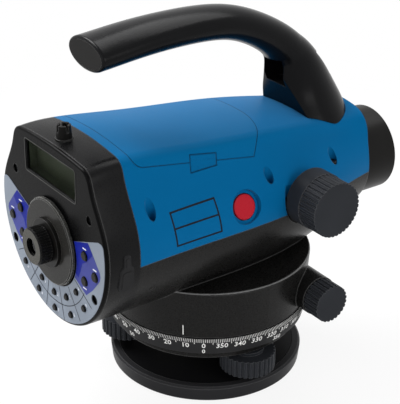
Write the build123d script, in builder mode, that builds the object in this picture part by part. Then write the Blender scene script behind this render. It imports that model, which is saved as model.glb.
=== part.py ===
from build123d import *
import os
from collections import namedtuple
from math import cos, radians, sin, tan

os.makedirs("parts", exist_ok=True)

# Digital surveying level, in millimetres.
# The origin is on the vertical axis at the underside of the foot plate, +Z is up, +Y is the line of sight
# towards the objective, and +X is the observer's right, where the focus knob is.

# Fits
running_gap = 0.05
press_gap = 0.15
seam_gap = 0.2
slide_gap = 0.3

# Length of a cut that goes right through, and of one that starts inside and leaves on one side
through = 240.0
cut_reach = 60.0

# Heights that the whole instrument shares
sight_z = 101.5
parting_z = 103.0
ledge_z = 71.0
casing_foot_z = 42.7
casing_floor_z = 63.0

# Foot plate, spring plate and foot screws
plate_r = 55.5
plate_foot_r = 54.5
plate_h = 9.6
plate_edge = 1.2
spring_plate_r = 50.5
spring_plate_h = 1.2
thread_bore_r = 6.75
thread_boss_r = 13.0
thread_boss_h = 12.0
foot_inset = 10.5
foot_screw_count = 3
foot_turn = -4.5
foot_ball_r = 4.0
foot_ball_z = 5.6
foot_neck_r = 3.0
foot_gap = 5.4
foot_knob_r = 15.5
foot_knob_h = 10.1
foot_knob_ribs = 30
foot_rib_depth = 1.0
foot_collar_r = 9.0
foot_collar_h = 1.8
foot_stem_r = 4.0
foot_stem_h = 4.7

# Levelling head, circle and vertical axis
head_flange_r = 52.0
head_flange_h = 4.9
head_hub_r = 46.0
head_collar_r = 14.0
head_neck_r = 25.0
circle_r = 58.2
circle_foot_r = 56.0
circle_h = 9.6
circle_band = 1.5
spindle_r = 9.0
spindle_foot_z = 17.0
spindle_flange_r = 16.0
spindle_flange_h = 3.0
spindle_edge = 1.5

# Slow motion drive
tangent_y = 34.5
tangent_z = 52.6
worm_r = 4.2
worm_shaft_r = 3.0
worm_length = 30.0
worm_end_gap = 1.0
worm_wheel_h = 8.0
tangent_boss_r = 12.0
tangent_boss_end_r = 11.2
tangent_boss_x = 58.6
tangent_knob_r = 10.8
tangent_knob_x = 69.7
tangent_knob_ribs = 24
tangent_rib_depth = 0.8
tangent_knob_cap = 4.0

# Drum of the casing
drum_r = 58.6
drum_foot_r = 56.8
drum_edge = 1.2
drum_bore_r = 50.0
drum_bore_z = 46.0

# Walls of the covers, and how upright the flanks are at their shoulders
wall = 2.8
flank_rise = 1.25
end_wall = 3.0

# Black front housing and keyboard panel
panel_y = -98.5
panel_flange = 2.0
panel_spigot = 3.0
panel_spigot_gap = 0.6
panel_edge = 1.2
housing_back_y = -78.0
panel_screw_r = 2.1
panel_screw_hole_r = 2.5
panel_screw_sink = 2.4
panel_screw_length = 9.0
panel_boss_r = 6.8
panel_boss_depth = 9.0
panel_screw_spots = [(37.4, 128.6), (41.0, 85.9)]

# Display
lcd_half_width = 24.75
lcd_low_z = 133.2
lcd_high_z = 150.0
lcd_corner_r = 1.4
lcd_bevel = 0.5
lcd_recess = 1.4
lcd_lip = 0.9
lcd_window_t = 1.2
lcd_module_t = 4.5

# Keys, set out around the eyepiece
fan_inner_r = 30.3
fan_outer_r = 39.9
fan_step = 25.0
fan_keys = 5
side_inner_r = 33.5
side_outer_r = 42.5
side_high_angle = 10.0
side_low_angle = -15.5
side_outer_angle = -2.7
key_r = 1.8
side_key_r = 2.5
key_rise = 1.4
key_flange = 1.0
key_flange_t = 0.8
key_travel = 0.8
key_edge = 0.4
board_t = 1.6
board_post_r = 2.2
board_r = 46.0
board_high_z = 129.5
board_post_spots = [(8.5, 66.0), (22.0, 120.0)]

# Keypad film
film_t = 0.3
film_margin = 1.4
film_inner_r = 24.6
film_shoulder_x = 46.0
film_shoulder_z = 120.4
film_inner_z = 111.8
film_corner_r = 2.5

# Eyepiece
eyepiece_body_r = 15.0
eyepiece_hub_r = 13.4
eyepiece_nose_r = 8.0
eyepiece_bore_r = 5.0
eyepiece_hollow_r = 9.0
eyepiece_back_y = -52.0
disc_r = 23.3
disc_front_y = -101.2
disc_back_y = -99.0
hub_front_y = -103.2
nose_front_y = -109.5
dioptre_r = 10.1
dioptre_front_y = -111.1
dioptre_lip = 1.3
dioptre_edge = 0.8
dioptre_ribs = 40
dioptre_rib_depth = 0.4
disc_edge = 0.5
dioptre_hole_r = 4.8
eyepiece_lens_t = 2.6

# Telescope
tube_r = 21.3
tube_bore_r = 18.5
tube_front_y = 88.0
splitter_side = 18.0
splitter_y = -38.0
splitter_block_y = -24.0
objective_r = 25.2
objective_front_y = 118.2
objective_back_y = 72.0
objective_bore_r = 22.4
lens_seat_y = 96.0
objective_lens_t = 9.0
objective_lens_edge = 4.0
objective_flare = 1.6
focus_cell_length = 26.0
focus_lens_r = 14.0
focus_lens_t = 5.0
compensator_y = -12.0
compensator_length = 20.0
compensator_window = 17.0
sensor_pad_z = 80.0
sensor_board_t = 1.6
sensor_board_width = 36.0
sensor_board_length = 27.0
light_well_r = 6.0
saddle_spots = [-21.0, 64.0]
saddle_width = 30.0
saddle_t = 4.0
saddle_h = 24.0

# Focus drive
focus_y = 33.5
focus_z = 110.5
focus_knob_r = 16.0
focus_knob_end_r = 15.6
focus_knob_x = 70.0
focus_knob_back_x = 47.6
focus_knob_smooth = 10.0
focus_knob_ribs = 36
focus_rib_depth = 0.7
focus_pocket_r = 16.9
focus_pocket_x = 44.6
focus_shaft_r = 2.0
focus_pinion_r = 2.5
focus_pinion_x = 22.4
focus_pinion_length = 6.0
focus_rack_h = 4.0
focus_rack_half_length = 20.0
focus_half_travel = 11.8
focus_arm_half_width = 6.0
focus_bearing_r = 7.4
focus_bearing_length = 8.0
rack_x = 21.8
rack_t = 6.2

# Measuring button on the right flank
button_y = -9.5
button_z = 115.0
button_x = 46.35
button_r = 6.9
button_dish_r = 9.2
button_t = 3.2
button_edge = 0.8
button_dish_depth = 0.8
button_tilt = 20.0

# Battery lid, its hinge and latch
lid_front = 44.0
lid_rear = 49.0
lid_tail = 29.5
lid_reach = 40.0
lid_seam_y = -30.0
lid_seam_z = 142.0
lid_seam_slope = 9.8
lid_corner_r = 8.0
hinge_x = 36.9
hinge_taper = 2.6
hinge_r = 1.8
hinge_pin_r = 0.8
hinge_knuckle = 24.0
hinge_side_knuckle = 10.0
latch_half_width = 8.6
latch_above = 3.9
latch_below = 2.4
latch_below_front = 5.0
latch_y = -28.8
bay_floor_z = 125.4
bay_floor_t = 2.0
bay_rear_y = 28.0
bay_front_y = -74.5
battery_half_width = 25.0
battery_front_y = -66.0
battery_rear_y = 8.0
battery_h = 15.0
battery_edge = 2.5

# Cover screws in their upright pockets
shell_screw_spots = [(45.0, -67.7), (41.2, 9.8), (33.6, 61.0)]
shell_pocket_r = 2.7
shell_pocket_z = 117.0
shell_boss_r = 4.6
shell_boss_depth = 30.0
shell_screw_head_r = 2.4
shell_screw_head_h = 1.8
shell_screw_r = 1.3
shell_screw_length = 32.0

# Carrying handle
handle_end_y = -75.7
handle_knee = 10
handle_end_edge = 1.4
handle_front_y = 53.0
handle_front_z = 142.0
handle_front_lean = 23.3
handle_trim_h = 34.0
handle_window_half_width = 8.5
handle_window_low_z = 157.5
handle_window_high_z = 173.5
end_cap_margin = 1.8
end_cap_t = 1.6
tenon_y = 64.0
tenon_z = 136.5
tenon_width = 14.0
tenon_length = 20.0
tenon_h = 12.0

# Rear sight on the front housing
sight_y = -89.3
sight_base_z = 156.2
sight_flange_r = 4.7
sight_flange_h = 1.0
sight_foot_r = 4.1
sight_top_r = 3.6
sight_h = 7.2
sight_bore_r = 2.3
sight_slot = 1.3

# Circular level on the left ledge
level_x = -50.2
level_r = 7.0
level_h = 7.5
level_bore_r = 5.4
level_bore_depth = 3.0
level_edge = 1.0

# Stations of the covers along the line of sight, from the keyboard to the objective
Station = namedtuple("Station", "y half_width widest_z bottom_z flank_x flank_z roof_x shoulder_z roof_z")
stations = [
    Station(-96.5, 53.0, 109.0, 56.0, 38.8, 147.0, 31.0, 154.4, 156.0),
    Station(-78.0, 52.0, 107.5, 56.0, 37.3, 148.0, 30.0, 155.2, 157.2),
    Station(-30.0, 50.2, 105.5, 55.8, 35.3, 143.0, 28.0, 150.2, 152.3),
    Station(20.0, 48.0, 105.5, 57.0, 33.0, 137.5, 26.0, 145.4, 147.0),
    Station(60.0, 40.0, 105.0, 64.5, 28.8, 131.0, 20.0, 140.2, 141.9),
    Station(92.0, 31.2, 105.0, 73.6, 28.2, 125.0, 15.0, 139.0, 140.3),
]

# Stations of the handle, from its free end to its foot: place, lean of the section, half width and half depth
Grip = namedtuple("Grip", "y z lean half_width half_depth")
grips = [
    Grip(handle_end_y, 198.5, 0.0, 17.0, 8.6),
    Grip(-60.0, 200.0, -3.0, 16.4, 8.7),
    Grip(-45.0, 201.3, -2.5, 15.8, 8.8),
    Grip(-28.0, 202.0, -1.0, 15.0, 8.9),
    Grip(-10.0, 201.8, 4.0, 14.2, 9.0),
    Grip(2.0, 200.8, 9.5, 13.6, 9.1),
    Grip(13.2, 198.6, 16.5, 13.1, 9.2),
    Grip(25.5, 194.1, 24.0, 12.8, 9.4),
    Grip(36.9, 188.1, 34.0, 12.6, 9.8),
    Grip(43.4, 183.8, 44.0, 12.6, 10.3),
    Grip(49.0, 179.0, 57.0, 12.8, 11.3),
    Grip(51.0, 177.0, 64.0, 12.9, 12.3),
    Grip(54.6, 173.0, 79.0, 13.4, 14.6),
    Grip(57.5, 169.0, 90.0, 14.3, 16.9),
    Grip(60.3, 161.0, 90.0, 16.0, 19.4),
    Grip(62.2, 153.0, 90.0, 18.4, 22.2),
    Grip(64.1, 145.0, 90.0, 21.2, 24.8),
    Grip(65.8, 137.0, 90.0, 24.4, 26.6),
    Grip(67.0, 129.0, 90.0, 26.0, 28.0),
]


def across_sight(y):
    """Plane across the line of sight, with local x to the right and local y up."""
    return Plane.XZ.offset(-y)


def section(station, y, inset):
    """Round belly, leaning flanks and crowned roof: the outline of one station, drawn at the given place."""
    side = (station.half_width - inset, station.widest_z)
    flank = (station.flank_x - inset, station.flank_z - inset / 2)
    shoulder = (station.roof_x - inset / 2, station.shoulder_z - inset)
    lean = Vector(flank[0] - side[0], (flank[1] - side[1]) * flank_rise).normalized()
    with BuildSketch(across_sight(y)) as outline:
        with BuildLine():
            belly_depth = side[1] - station.bottom_z - inset
            EllipticalCenterArc((0, side[1]), side[0], belly_depth, start_angle=-90, arc_size=90)
            roof = TangentArc((0, station.roof_z - inset), shoulder, tangent=(1, 0))
            Spline(side, flank, tangents=[(0, 1), lean])
            Spline(flank, shoulder, tangents=[lean, (roof % 1) * -1])
            mirror(about=Plane.YZ)
        make_face()
    return outline.sketch


def covers(inset=0.0, ruled=False, front=0.0, rear=0.0):
    """The whole body inside the given inset, longer or shorter at its two ends."""
    ends = {0: -front, len(stations) - 1: rear}
    sections = [section(at, at.y + ends.get(number, 0.0), inset) for number, at in enumerate(stations)]
    with BuildPart() as body:
        loft(sections=sections, ruled=ruled)
    return body.part


def lid_block(inset=0.0):
    """The block of space that the lid takes out of the roof: curved on the right, square to its hinge."""
    front = lid_front - inset
    rear = lid_rear - inset
    tail = lid_tail - inset
    with BuildPart() as block:
        with BuildSketch(seam_plane.offset(inset)):
            with BuildLine():
                Polyline(
                    (0, rear),
                    (-lid_reach, rear + lid_reach * tan(radians(hinge_taper))),
                    (-lid_reach, -front),
                    (lid_reach, -front),
                    (lid_reach, tail),
                )
                TangentArc((0, rear), (lid_reach, tail), tangent=(1, 0))
            make_face()
        extrude(amount=lid_reach)
        seam_edges = block.faces().sort_by(Axis.Z)[0].edges().sort_by(Axis.Y)
        fillet(seam_edges[0], lid_corner_r - inset)
    return block.part


def latch_block(inset=0.0):
    """The block of space that the latch takes out of the lid's seam on the right flank."""
    with BuildPart() as block:
        with BuildSketch(latch_plane):
            with BuildLine():
                Polyline(
                    (-latch_half_width + inset, latch_above - inset),
                    (latch_half_width - inset, latch_above - inset),
                    (latch_half_width - inset, -latch_below + inset),
                    (-latch_half_width + inset, -latch_below_front + inset),
                    close=True,
                )
            make_face()
        extrude(amount=lid_reach / 2, both=True)
    return block.part


def ribbed_sketch(radius, count, depth):
    """A circle with a row of small notches around it."""
    Circle(radius)
    with PolarLocations(radius, count):
        RegularPolygon(depth, 4, mode=Mode.SUBTRACT)


# Planes that several pieces share
seam_plane = Plane(
    origin=(0, lid_seam_y, lid_seam_z),
    x_dir=(1, 0, 0),
    z_dir=(0, sin(radians(lid_seam_slope)), cos(radians(lid_seam_slope))),
)
latch_drop = (latch_y - lid_seam_y) * sin(radians(lid_seam_slope)) / cos(radians(lid_seam_slope))
latch_plane = Plane(
    origin=(hinge_x, latch_y, lid_seam_z - latch_drop),
    x_dir=(0, cos(radians(lid_seam_slope)), -sin(radians(lid_seam_slope))),
    z_dir=(1, 0, 0),
)
hinge_axis = Vector(
    sin(radians(hinge_taper)),
    cos(radians(hinge_taper)) * cos(radians(lid_seam_slope)),
    -cos(radians(hinge_taper)) * sin(radians(lid_seam_slope)),
)
hinge_plane = Plane(origin=(-hinge_x, lid_seam_y, lid_seam_z), x_dir=(1, 0, 0), z_dir=hinge_axis)
handle_front_plane = Plane(
    origin=(0, handle_front_y, handle_front_z),
    x_dir=(1, 0, 0),
    z_dir=(0, cos(radians(handle_front_lean)), sin(radians(handle_front_lean))),
)
button_plane = Plane(
    origin=(button_x, button_y, button_z),
    x_dir=(0, 1, 0),
    z_dir=(cos(radians(button_tilt)), 0, sin(radians(button_tilt))),
)

# Places that follow from the sizes above
foot_circle_r = plate_r - foot_inset
foot_knob_z = plate_h + foot_gap
foot_collar_z = foot_knob_z + foot_knob_h
foot_stem_z = foot_collar_z + foot_collar_h
head_low_z = foot_stem_z + slide_gap
head_shoulder_z = head_low_z + head_flange_h
circle_low_z = head_shoulder_z + slide_gap
circle_high_z = circle_low_z + circle_h
wheel_low_z = tangent_z - worm_wheel_h / 2
wheel_r = tangent_y - worm_r - slide_gap
panel_back_y = panel_y + panel_flange + panel_spigot
board_y = panel_back_y + key_flange_t + slide_gap + key_travel + seam_gap
full_body = covers()
seat_body = covers(inset=-seam_gap)
hollow = covers(inset=wall, ruled=True, front=panel_flange, rear=-end_wall)

# Foot plate with its tripod thread and three sockets
with BuildPart() as foot_plate:
    Cone(plate_foot_r, plate_r, plate_h, align=(Align.CENTER, Align.CENTER, Align.MIN))
    chamfer(foot_plate.edges().filter_by(GeomType.CIRCLE), plate_edge)
    with Locations((0, 0, plate_h - spring_plate_h)):
        Cylinder(
            spring_plate_r + seam_gap,
            plate_h,
            align=(Align.CENTER, Align.CENTER, Align.MIN),
            mode=Mode.SUBTRACT,
        )
    Cylinder(thread_boss_r, thread_boss_h, align=(Align.CENTER, Align.CENTER, Align.MIN))
    Cylinder(thread_bore_r, 2 * thread_boss_h, mode=Mode.SUBTRACT)
    with PolarLocations(foot_circle_r, foot_screw_count, foot_turn):
        with Locations((0, 0, foot_ball_z - foot_ball_r - slide_gap)):
            Cylinder(
                foot_ball_r + slide_gap,
                plate_h,
                align=(Align.CENTER, Align.CENTER, Align.MIN),
                mode=Mode.SUBTRACT,
            )
foot_plate.part.label = "foot_plate"
export_step(foot_plate.part, "parts/foot_plate.step")

# Spring plate that holds the ball ends of the foot screws down
with BuildPart() as spring_plate:
    with BuildSketch(Plane.XY.offset(plate_h - spring_plate_h)):
        Circle(spring_plate_r)
        Circle(thread_boss_r + slide_gap, mode=Mode.SUBTRACT)
        with PolarLocations(foot_circle_r, foot_screw_count, foot_turn):
            Circle(foot_neck_r + slide_gap, mode=Mode.SUBTRACT)
    extrude(amount=spring_plate_h)
spring_plate.part.label = "spring_plate"
export_step(spring_plate.part, "parts/spring_plate.step")

# Foot screws: ball end, ribbed knob, collar and stem
for number in range(foot_screw_count):
    angle = radians(foot_turn + 360 / foot_screw_count * number)
    spot = Location((foot_circle_r * cos(angle), foot_circle_r * sin(angle), 0))
    with BuildPart() as foot_screw:
        with Locations((0, 0, foot_ball_z)):
            Sphere(foot_ball_r)
            Cylinder(foot_neck_r, foot_knob_z - foot_ball_z, align=(Align.CENTER, Align.CENTER, Align.MIN))
        with BuildSketch(Plane.XY.offset(foot_knob_z)):
            ribbed_sketch(foot_knob_r, foot_knob_ribs, foot_rib_depth)
        extrude(amount=foot_knob_h)
        with Locations((0, 0, foot_collar_z)):
            Cylinder(foot_collar_r, foot_collar_h, align=(Align.CENTER, Align.CENTER, Align.MIN))
        with Locations((0, 0, foot_stem_z)):
            Cylinder(foot_stem_r, foot_stem_h, align=(Align.CENTER, Align.CENTER, Align.MIN))
    placed = foot_screw.part.moved(spot)
    placed.label = f"foot_screw_{number + 1}"
    export_step(placed, f"parts/foot_screw_{number + 1}.step")

# Levelling head: flange on the foot screws, hub for the circle, neck and collar for the worm wheel
with BuildPart() as levelling_head:
    with BuildSketch(Plane.XZ):
        with BuildLine():
            Polyline(
                (spindle_r + running_gap, head_low_z),
                (head_flange_r, head_low_z),
                (head_flange_r, head_shoulder_z),
                (head_hub_r, head_shoulder_z),
                (head_hub_r, circle_high_z),
                (head_neck_r, circle_high_z),
                (head_neck_r, wheel_low_z),
                (head_collar_r, wheel_low_z),
                (head_collar_r, wheel_low_z + worm_wheel_h),
                (spindle_r + running_gap, wheel_low_z + worm_wheel_h),
                close=True,
            )
        make_face()
    revolve(axis=Axis.Z)
    with PolarLocations(foot_circle_r, foot_screw_count, foot_turn):
        with Locations((0, 0, head_low_z)):
            Cylinder(
                foot_stem_r + running_gap,
                head_flange_h + slide_gap,
                align=(Align.CENTER, Align.CENTER, Align.MIN),
                mode=Mode.SUBTRACT,
            )
levelling_head.part.label = "levelling_head"
export_step(levelling_head.part, "parts/levelling_head.step")

# Graduated horizontal circle, tapered inwards to its foot, with a sloping band for the graduation
with BuildPart() as circle_ring:
    with BuildSketch(Plane.XZ):
        with BuildLine():
            Polyline(
                (head_hub_r + running_gap, circle_low_z),
                (circle_foot_r, circle_low_z),
                (circle_r, circle_high_z - circle_band),
                (circle_r - circle_band, circle_high_z),
                (head_hub_r + running_gap, circle_high_z),
                close=True,
            )
        make_face()
    revolve(axis=Axis.Z)
circle_ring.part.label = "circle_ring"
export_step(circle_ring.part, "parts/circle_ring.step")

# Worm wheel of the slow motion drive, held on the head's collar by friction
with BuildPart() as worm_wheel:
    with BuildSketch(Plane.XZ):
        with BuildLine():
            Polyline(
                (wheel_r, wheel_low_z),
                (head_collar_r + running_gap, wheel_low_z),
                (head_collar_r + running_gap, wheel_low_z + worm_wheel_h),
                (wheel_r, wheel_low_z + worm_wheel_h),
            )
            Line((wheel_r, wheel_low_z + worm_wheel_h), (wheel_r, wheel_low_z))
        make_face()
    revolve(axis=Axis.Z)
worm_wheel.part.label = "worm_wheel"
export_step(worm_wheel.part, "parts/worm_wheel.step")

# Spindle that turns in the levelling head and carries the casing
with BuildPart() as spindle:
    with Locations((0, 0, spindle_foot_z)):
        Cylinder(
            spindle_r,
            casing_floor_z - spindle_foot_z,
            align=(Align.CENTER, Align.CENTER, Align.MIN),
        )
    with Locations((0, 0, casing_floor_z)):
        Cylinder(spindle_flange_r, spindle_flange_h, align=(Align.CENTER, Align.CENTER, Align.MIN))
    fillet(spindle.faces().sort_by(Axis.Z)[0].edges(), spindle_edge)
spindle.part.label = "spindle"
export_step(spindle.part, "parts/spindle.step")

# Slow motion shaft with its worm, and a ribbed knob on each end
with BuildPart() as tangent_worm:
    with Locations((0, tangent_y, tangent_z)):
        Cylinder(worm_shaft_r, 2 * (tangent_knob_x - tangent_knob_cap), rotation=(0, 90, 0))
        Cylinder(worm_r, worm_length, rotation=(0, 90, 0))
tangent_worm.part.label = "tangent_worm"
export_step(tangent_worm.part, "parts/tangent_worm.step")

for side, side_name in ((1, "right"), (-1, "left")):
    with BuildPart() as tangent_knob:
        start_x = side * (tangent_boss_x + slide_gap)
        with BuildSketch(Plane.YZ.offset(start_x)):
            with Locations((tangent_y, tangent_z)):
                ribbed_sketch(tangent_knob_r, tangent_knob_ribs, tangent_rib_depth)
                Circle(worm_shaft_r + running_gap, mode=Mode.SUBTRACT)
        extrude(amount=side * (tangent_knob_x - tangent_knob_cap) - start_x)
        with BuildSketch(Plane.YZ.offset(side * (tangent_knob_x - tangent_knob_cap))):
            with Locations((tangent_y, tangent_z)):
                ribbed_sketch(tangent_knob_r, tangent_knob_ribs, tangent_rib_depth)
        extrude(amount=side * tangent_knob_cap)
    tangent_knob.part.label = f"tangent_knob_{side_name}"
    export_step(tangent_knob.part, f"parts/tangent_knob_{side_name}.step")

# Casing: front housing, belly and drum in one black casting
with BuildPart() as drum:
    with BuildSketch(Plane.XZ):
        with BuildLine():
            Polyline(
                (0, casing_foot_z),
                (drum_foot_r, casing_foot_z),
                (drum_r, ledge_z),
                (0, ledge_z),
                close=True,
            )
        make_face()
    revolve(axis=Axis.Z)
    fillet(drum.edges().group_by(Axis.Z)[-1], drum_edge)

with BuildPart() as tangent_bosses:
    for side in (1, -1):
        with Locations((0, tangent_y, tangent_z)):
            Cone(
                tangent_boss_r,
                tangent_boss_end_r,
                tangent_boss_x,
                align=(Align.CENTER, Align.CENTER, Align.MIN),
                rotation=(0, side * 90, 0),
            )
    split(bisect_by=Plane.XY.offset(casing_foot_z), keep=Keep.TOP)

with BuildPart() as casing_hollow:
    add(hollow)
    with Locations((0, -drum_r, casing_floor_z)):
        Box(through, through, drum_r, align=(Align.CENTER, Align.MIN, Align.MAX), mode=Mode.SUBTRACT)

with BuildPart() as panel_bosses:
    for x, z in panel_screw_spots:
        for side in (1, -1):
            with BuildSketch(across_sight(panel_back_y)):
                with Locations((side * x, z)):
                    Circle(panel_boss_r)
                    Circle(panel_screw_r / 2 + running_gap, mode=Mode.SUBTRACT)
            extrude(amount=-panel_boss_depth)
    add(full_body, mode=Mode.INTERSECT)

with BuildPart() as cover_bosses:
    for x, y in shell_screw_spots:
        for side in (1, -1):
            with Locations((side * x, y, parting_z)):
                Cylinder(shell_boss_r, 2 * shell_boss_depth)
            with Locations((side * (x + shell_boss_r), y, parting_z)):
                Box(2 * shell_boss_r, 2 * shell_boss_r, 2 * shell_boss_depth)
    add(full_body, mode=Mode.INTERSECT)

with BuildPart() as cover_holes:
    for x, y in shell_screw_spots:
        for side in (1, -1):
            with Locations((side * x, y, shell_pocket_z)):
                Cylinder(shell_pocket_r, cut_reach, align=(Align.CENTER, Align.CENTER, Align.MIN))
                Cylinder(
                    shell_screw_r + press_gap,
                    shell_screw_length + slide_gap,
                    align=(Align.CENTER, Align.CENTER, Align.MAX),
                )

with BuildPart() as saddles:
    for y in saddle_spots:
        with Locations((0, y, casing_floor_z)):
            Box(saddle_width, saddle_t, saddle_h, align=(Align.CENTER, Align.CENTER, Align.MIN))
    add(full_body, mode=Mode.INTERSECT)
    with Locations((0, 0, sight_z)):
        Cylinder(tube_r + press_gap, through, rotation=(90, 0, 0), mode=Mode.SUBTRACT)

with BuildPart() as lower_cover_bosses:
    add(cover_bosses.part)
    split(bisect_by=Plane.XY.offset(parting_z), keep=Keep.BOTTOM)

with BuildPart() as upper_cover_bosses:
    add(cover_bosses.part)
    split(bisect_by=Plane.XY.offset(parting_z), keep=Keep.TOP)

with BuildPart() as lower_casing:
    add(full_body)
    with Locations((0, housing_back_y, parting_z)):
        Box(
            through,
            through,
            through,
            align=(Align.CENTER, Align.MIN, Align.MIN),
            mode=Mode.SUBTRACT,
        )
    add(drum.part)
    add(tangent_bosses.part)
    add(casing_hollow.part, mode=Mode.SUBTRACT)
    add(panel_bosses.part)
    add(lower_cover_bosses.part)
    add(cover_holes.part, mode=Mode.SUBTRACT)
    add(saddles.part)
    # Flat seat of the rear sight
    with Locations((0, sight_y, sight_base_z)):
        Cylinder(
            sight_flange_r + seam_gap,
            sight_h,
            align=(Align.CENTER, Align.CENTER, Align.MIN),
            mode=Mode.SUBTRACT,
        )
    # Room for the levelling head's hub and for the worm wheel
    with Locations((0, 0, casing_foot_z)):
        Cylinder(
            drum_bore_r,
            drum_bore_z - casing_foot_z,
            align=(Align.CENTER, Align.CENTER, Align.MIN),
            mode=Mode.SUBTRACT,
        )
        Cylinder(
            wheel_r + slide_gap,
            wheel_low_z + worm_wheel_h + 2 * slide_gap - casing_foot_z,
            align=(Align.CENTER, Align.CENTER, Align.MIN),
            mode=Mode.SUBTRACT,
        )
    with Locations((0, 0, casing_floor_z)):
        Cylinder(spindle_r + press_gap, spindle_flange_r, mode=Mode.SUBTRACT)
    # Cross bore of the slow motion shaft
    with Locations((0, tangent_y, tangent_z)):
        Cylinder(worm_shaft_r + running_gap, through, rotation=(0, 90, 0), mode=Mode.SUBTRACT)
        Cylinder(worm_r + slide_gap, worm_length + 2 * worm_end_gap, rotation=(0, 90, 0), mode=Mode.SUBTRACT)
    # Bore for the objective barrel and pocket for the focus knob
    with Locations((0, objective_back_y, sight_z)):
        Cylinder(
            objective_r + seam_gap,
            objective_front_y,
            align=(Align.CENTER, Align.CENTER, Align.MAX),
            rotation=(90, 0, 0),
            mode=Mode.SUBTRACT,
        )
    with Locations((focus_pocket_x, focus_y, focus_z)):
        Cylinder(
            focus_pocket_r,
            cut_reach,
            align=(Align.CENTER, Align.CENTER, Align.MIN),
            rotation=(0, 90, 0),
            mode=Mode.SUBTRACT,
        )
lower_casing.part.label = "lower_casing"
export_step(lower_casing.part, "parts/lower_casing.step")

# Blue upper shell with the battery bay under its lid
with BuildPart() as bay:
    bay_length = bay_rear_y - housing_back_y
    with Locations((0, housing_back_y, bay_floor_z)):
        Box(2 * cut_reach, bay_length, bay_floor_t, align=(Align.CENTER, Align.MIN, Align.MAX))
    with Locations((0, bay_rear_y, bay_floor_z)):
        Box(2 * cut_reach, bay_floor_t, cut_reach, align=(Align.CENTER, Align.MAX, Align.MIN))
    with Locations((0, bay_front_y, bay_floor_z)):
        Box(2 * cut_reach, bay_floor_t, cut_reach, align=(Align.CENTER, Align.MAX, Align.MIN))
    add(full_body, mode=Mode.INTERSECT)

knuckle_step = hinge_knuckle / 2 + slide_gap + hinge_side_knuckle / 2

with BuildPart() as upper_shell:
    add(full_body)
    split(bisect_by=Plane.XY.offset(parting_z), keep=Keep.TOP)
    split(bisect_by=across_sight(housing_back_y), keep=Keep.BOTTOM)
    add(hollow, mode=Mode.SUBTRACT)
    add(lid_block(), mode=Mode.SUBTRACT)
    add(latch_block(), mode=Mode.SUBTRACT)
    add(bay.part)
    add(upper_cover_bosses.part)
    with Locations((focus_pocket_x, focus_y, focus_z)):
        Cylinder(
            focus_bearing_r,
            focus_bearing_length,
            align=(Align.CENTER, Align.CENTER, Align.MAX),
            rotation=(0, 90, 0),
        )
    add(cover_holes.part, mode=Mode.SUBTRACT)
    # Hinge knuckles at both ends of the lid's knuckle
    with Locations(hinge_plane.location):
        with Locations((0, 0, knuckle_step), (0, 0, -knuckle_step)):
            Cylinder(hinge_r, hinge_side_knuckle)
        Cylinder(hinge_r + slide_gap, hinge_knuckle + 2 * slide_gap, mode=Mode.SUBTRACT)
        Cylinder(hinge_pin_r + press_gap, 2 * lid_reach, mode=Mode.SUBTRACT)
    # Bore for the objective barrel, pocket and bearing of the focus knob
    with Locations((0, objective_back_y, sight_z)):
        Cylinder(
            objective_r + seam_gap,
            objective_front_y,
            align=(Align.CENTER, Align.CENTER, Align.MAX),
            rotation=(90, 0, 0),
            mode=Mode.SUBTRACT,
        )
    with Locations((focus_pocket_x, focus_y, focus_z)):
        Cylinder(
            focus_pocket_r,
            cut_reach,
            align=(Align.CENTER, Align.CENTER, Align.MIN),
            rotation=(0, 90, 0),
            mode=Mode.SUBTRACT,
        )
        Cylinder(focus_shaft_r + running_gap, cut_reach, rotation=(0, 90, 0), mode=Mode.SUBTRACT)
    # Hole and shallow dish for the measuring button
    with Locations(button_plane.location):
        Cylinder(button_r + slide_gap, button_dish_r * 2, mode=Mode.SUBTRACT)
        with Locations((0, 0, -button_dish_depth)):
            Cylinder(
                button_dish_r,
                button_dish_r,
                align=(Align.CENTER, Align.CENTER, Align.MIN),
                mode=Mode.SUBTRACT,
            )
    # Socket for the tenon under the handle
    with Locations((0, tenon_y, tenon_z)):
        Box(
            tenon_width + 2 * press_gap,
            tenon_length + 2 * press_gap,
            cut_reach,
            align=(Align.CENTER, Align.CENTER, Align.MIN),
            mode=Mode.SUBTRACT,
        )
upper_shell.part.label = "upper_shell"
export_step(upper_shell.part, "parts/upper_shell.step")

# Battery lid that wraps over the roof and both shoulders
with BuildPart() as battery_lid:
    add(full_body)
    add(lid_block(seam_gap), mode=Mode.INTERSECT)
    add(hollow, mode=Mode.SUBTRACT)
    add(latch_block(), mode=Mode.SUBTRACT)
    with Locations(hinge_plane.location):
        Cylinder(hinge_r, hinge_knuckle)
        with Locations((0, 0, knuckle_step), (0, 0, -knuckle_step)):
            Cylinder(hinge_r + slide_gap, hinge_side_knuckle + 2 * slide_gap, mode=Mode.SUBTRACT)
        Cylinder(hinge_pin_r + running_gap, 2 * lid_reach, mode=Mode.SUBTRACT)
battery_lid.part.label = "battery_lid"
export_step(battery_lid.part, "parts/battery_lid.step")

# Sprung latch of the lid, flush with the right shoulder
with BuildPart() as lid_latch:
    add(full_body)
    add(latch_block(seam_gap), mode=Mode.INTERSECT)
    add(hollow, mode=Mode.SUBTRACT)
lid_latch.part.label = "lid_latch"
export_step(lid_latch.part, "parts/lid_latch.step")

# Hinge pin of the lid
with BuildPart() as lid_pin:
    with Locations(hinge_plane.location):
        Cylinder(hinge_pin_r, hinge_knuckle + 2 * (slide_gap + hinge_side_knuckle))
lid_pin.part.label = "lid_pin"
export_step(lid_pin.part, "parts/lid_pin.step")

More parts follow.
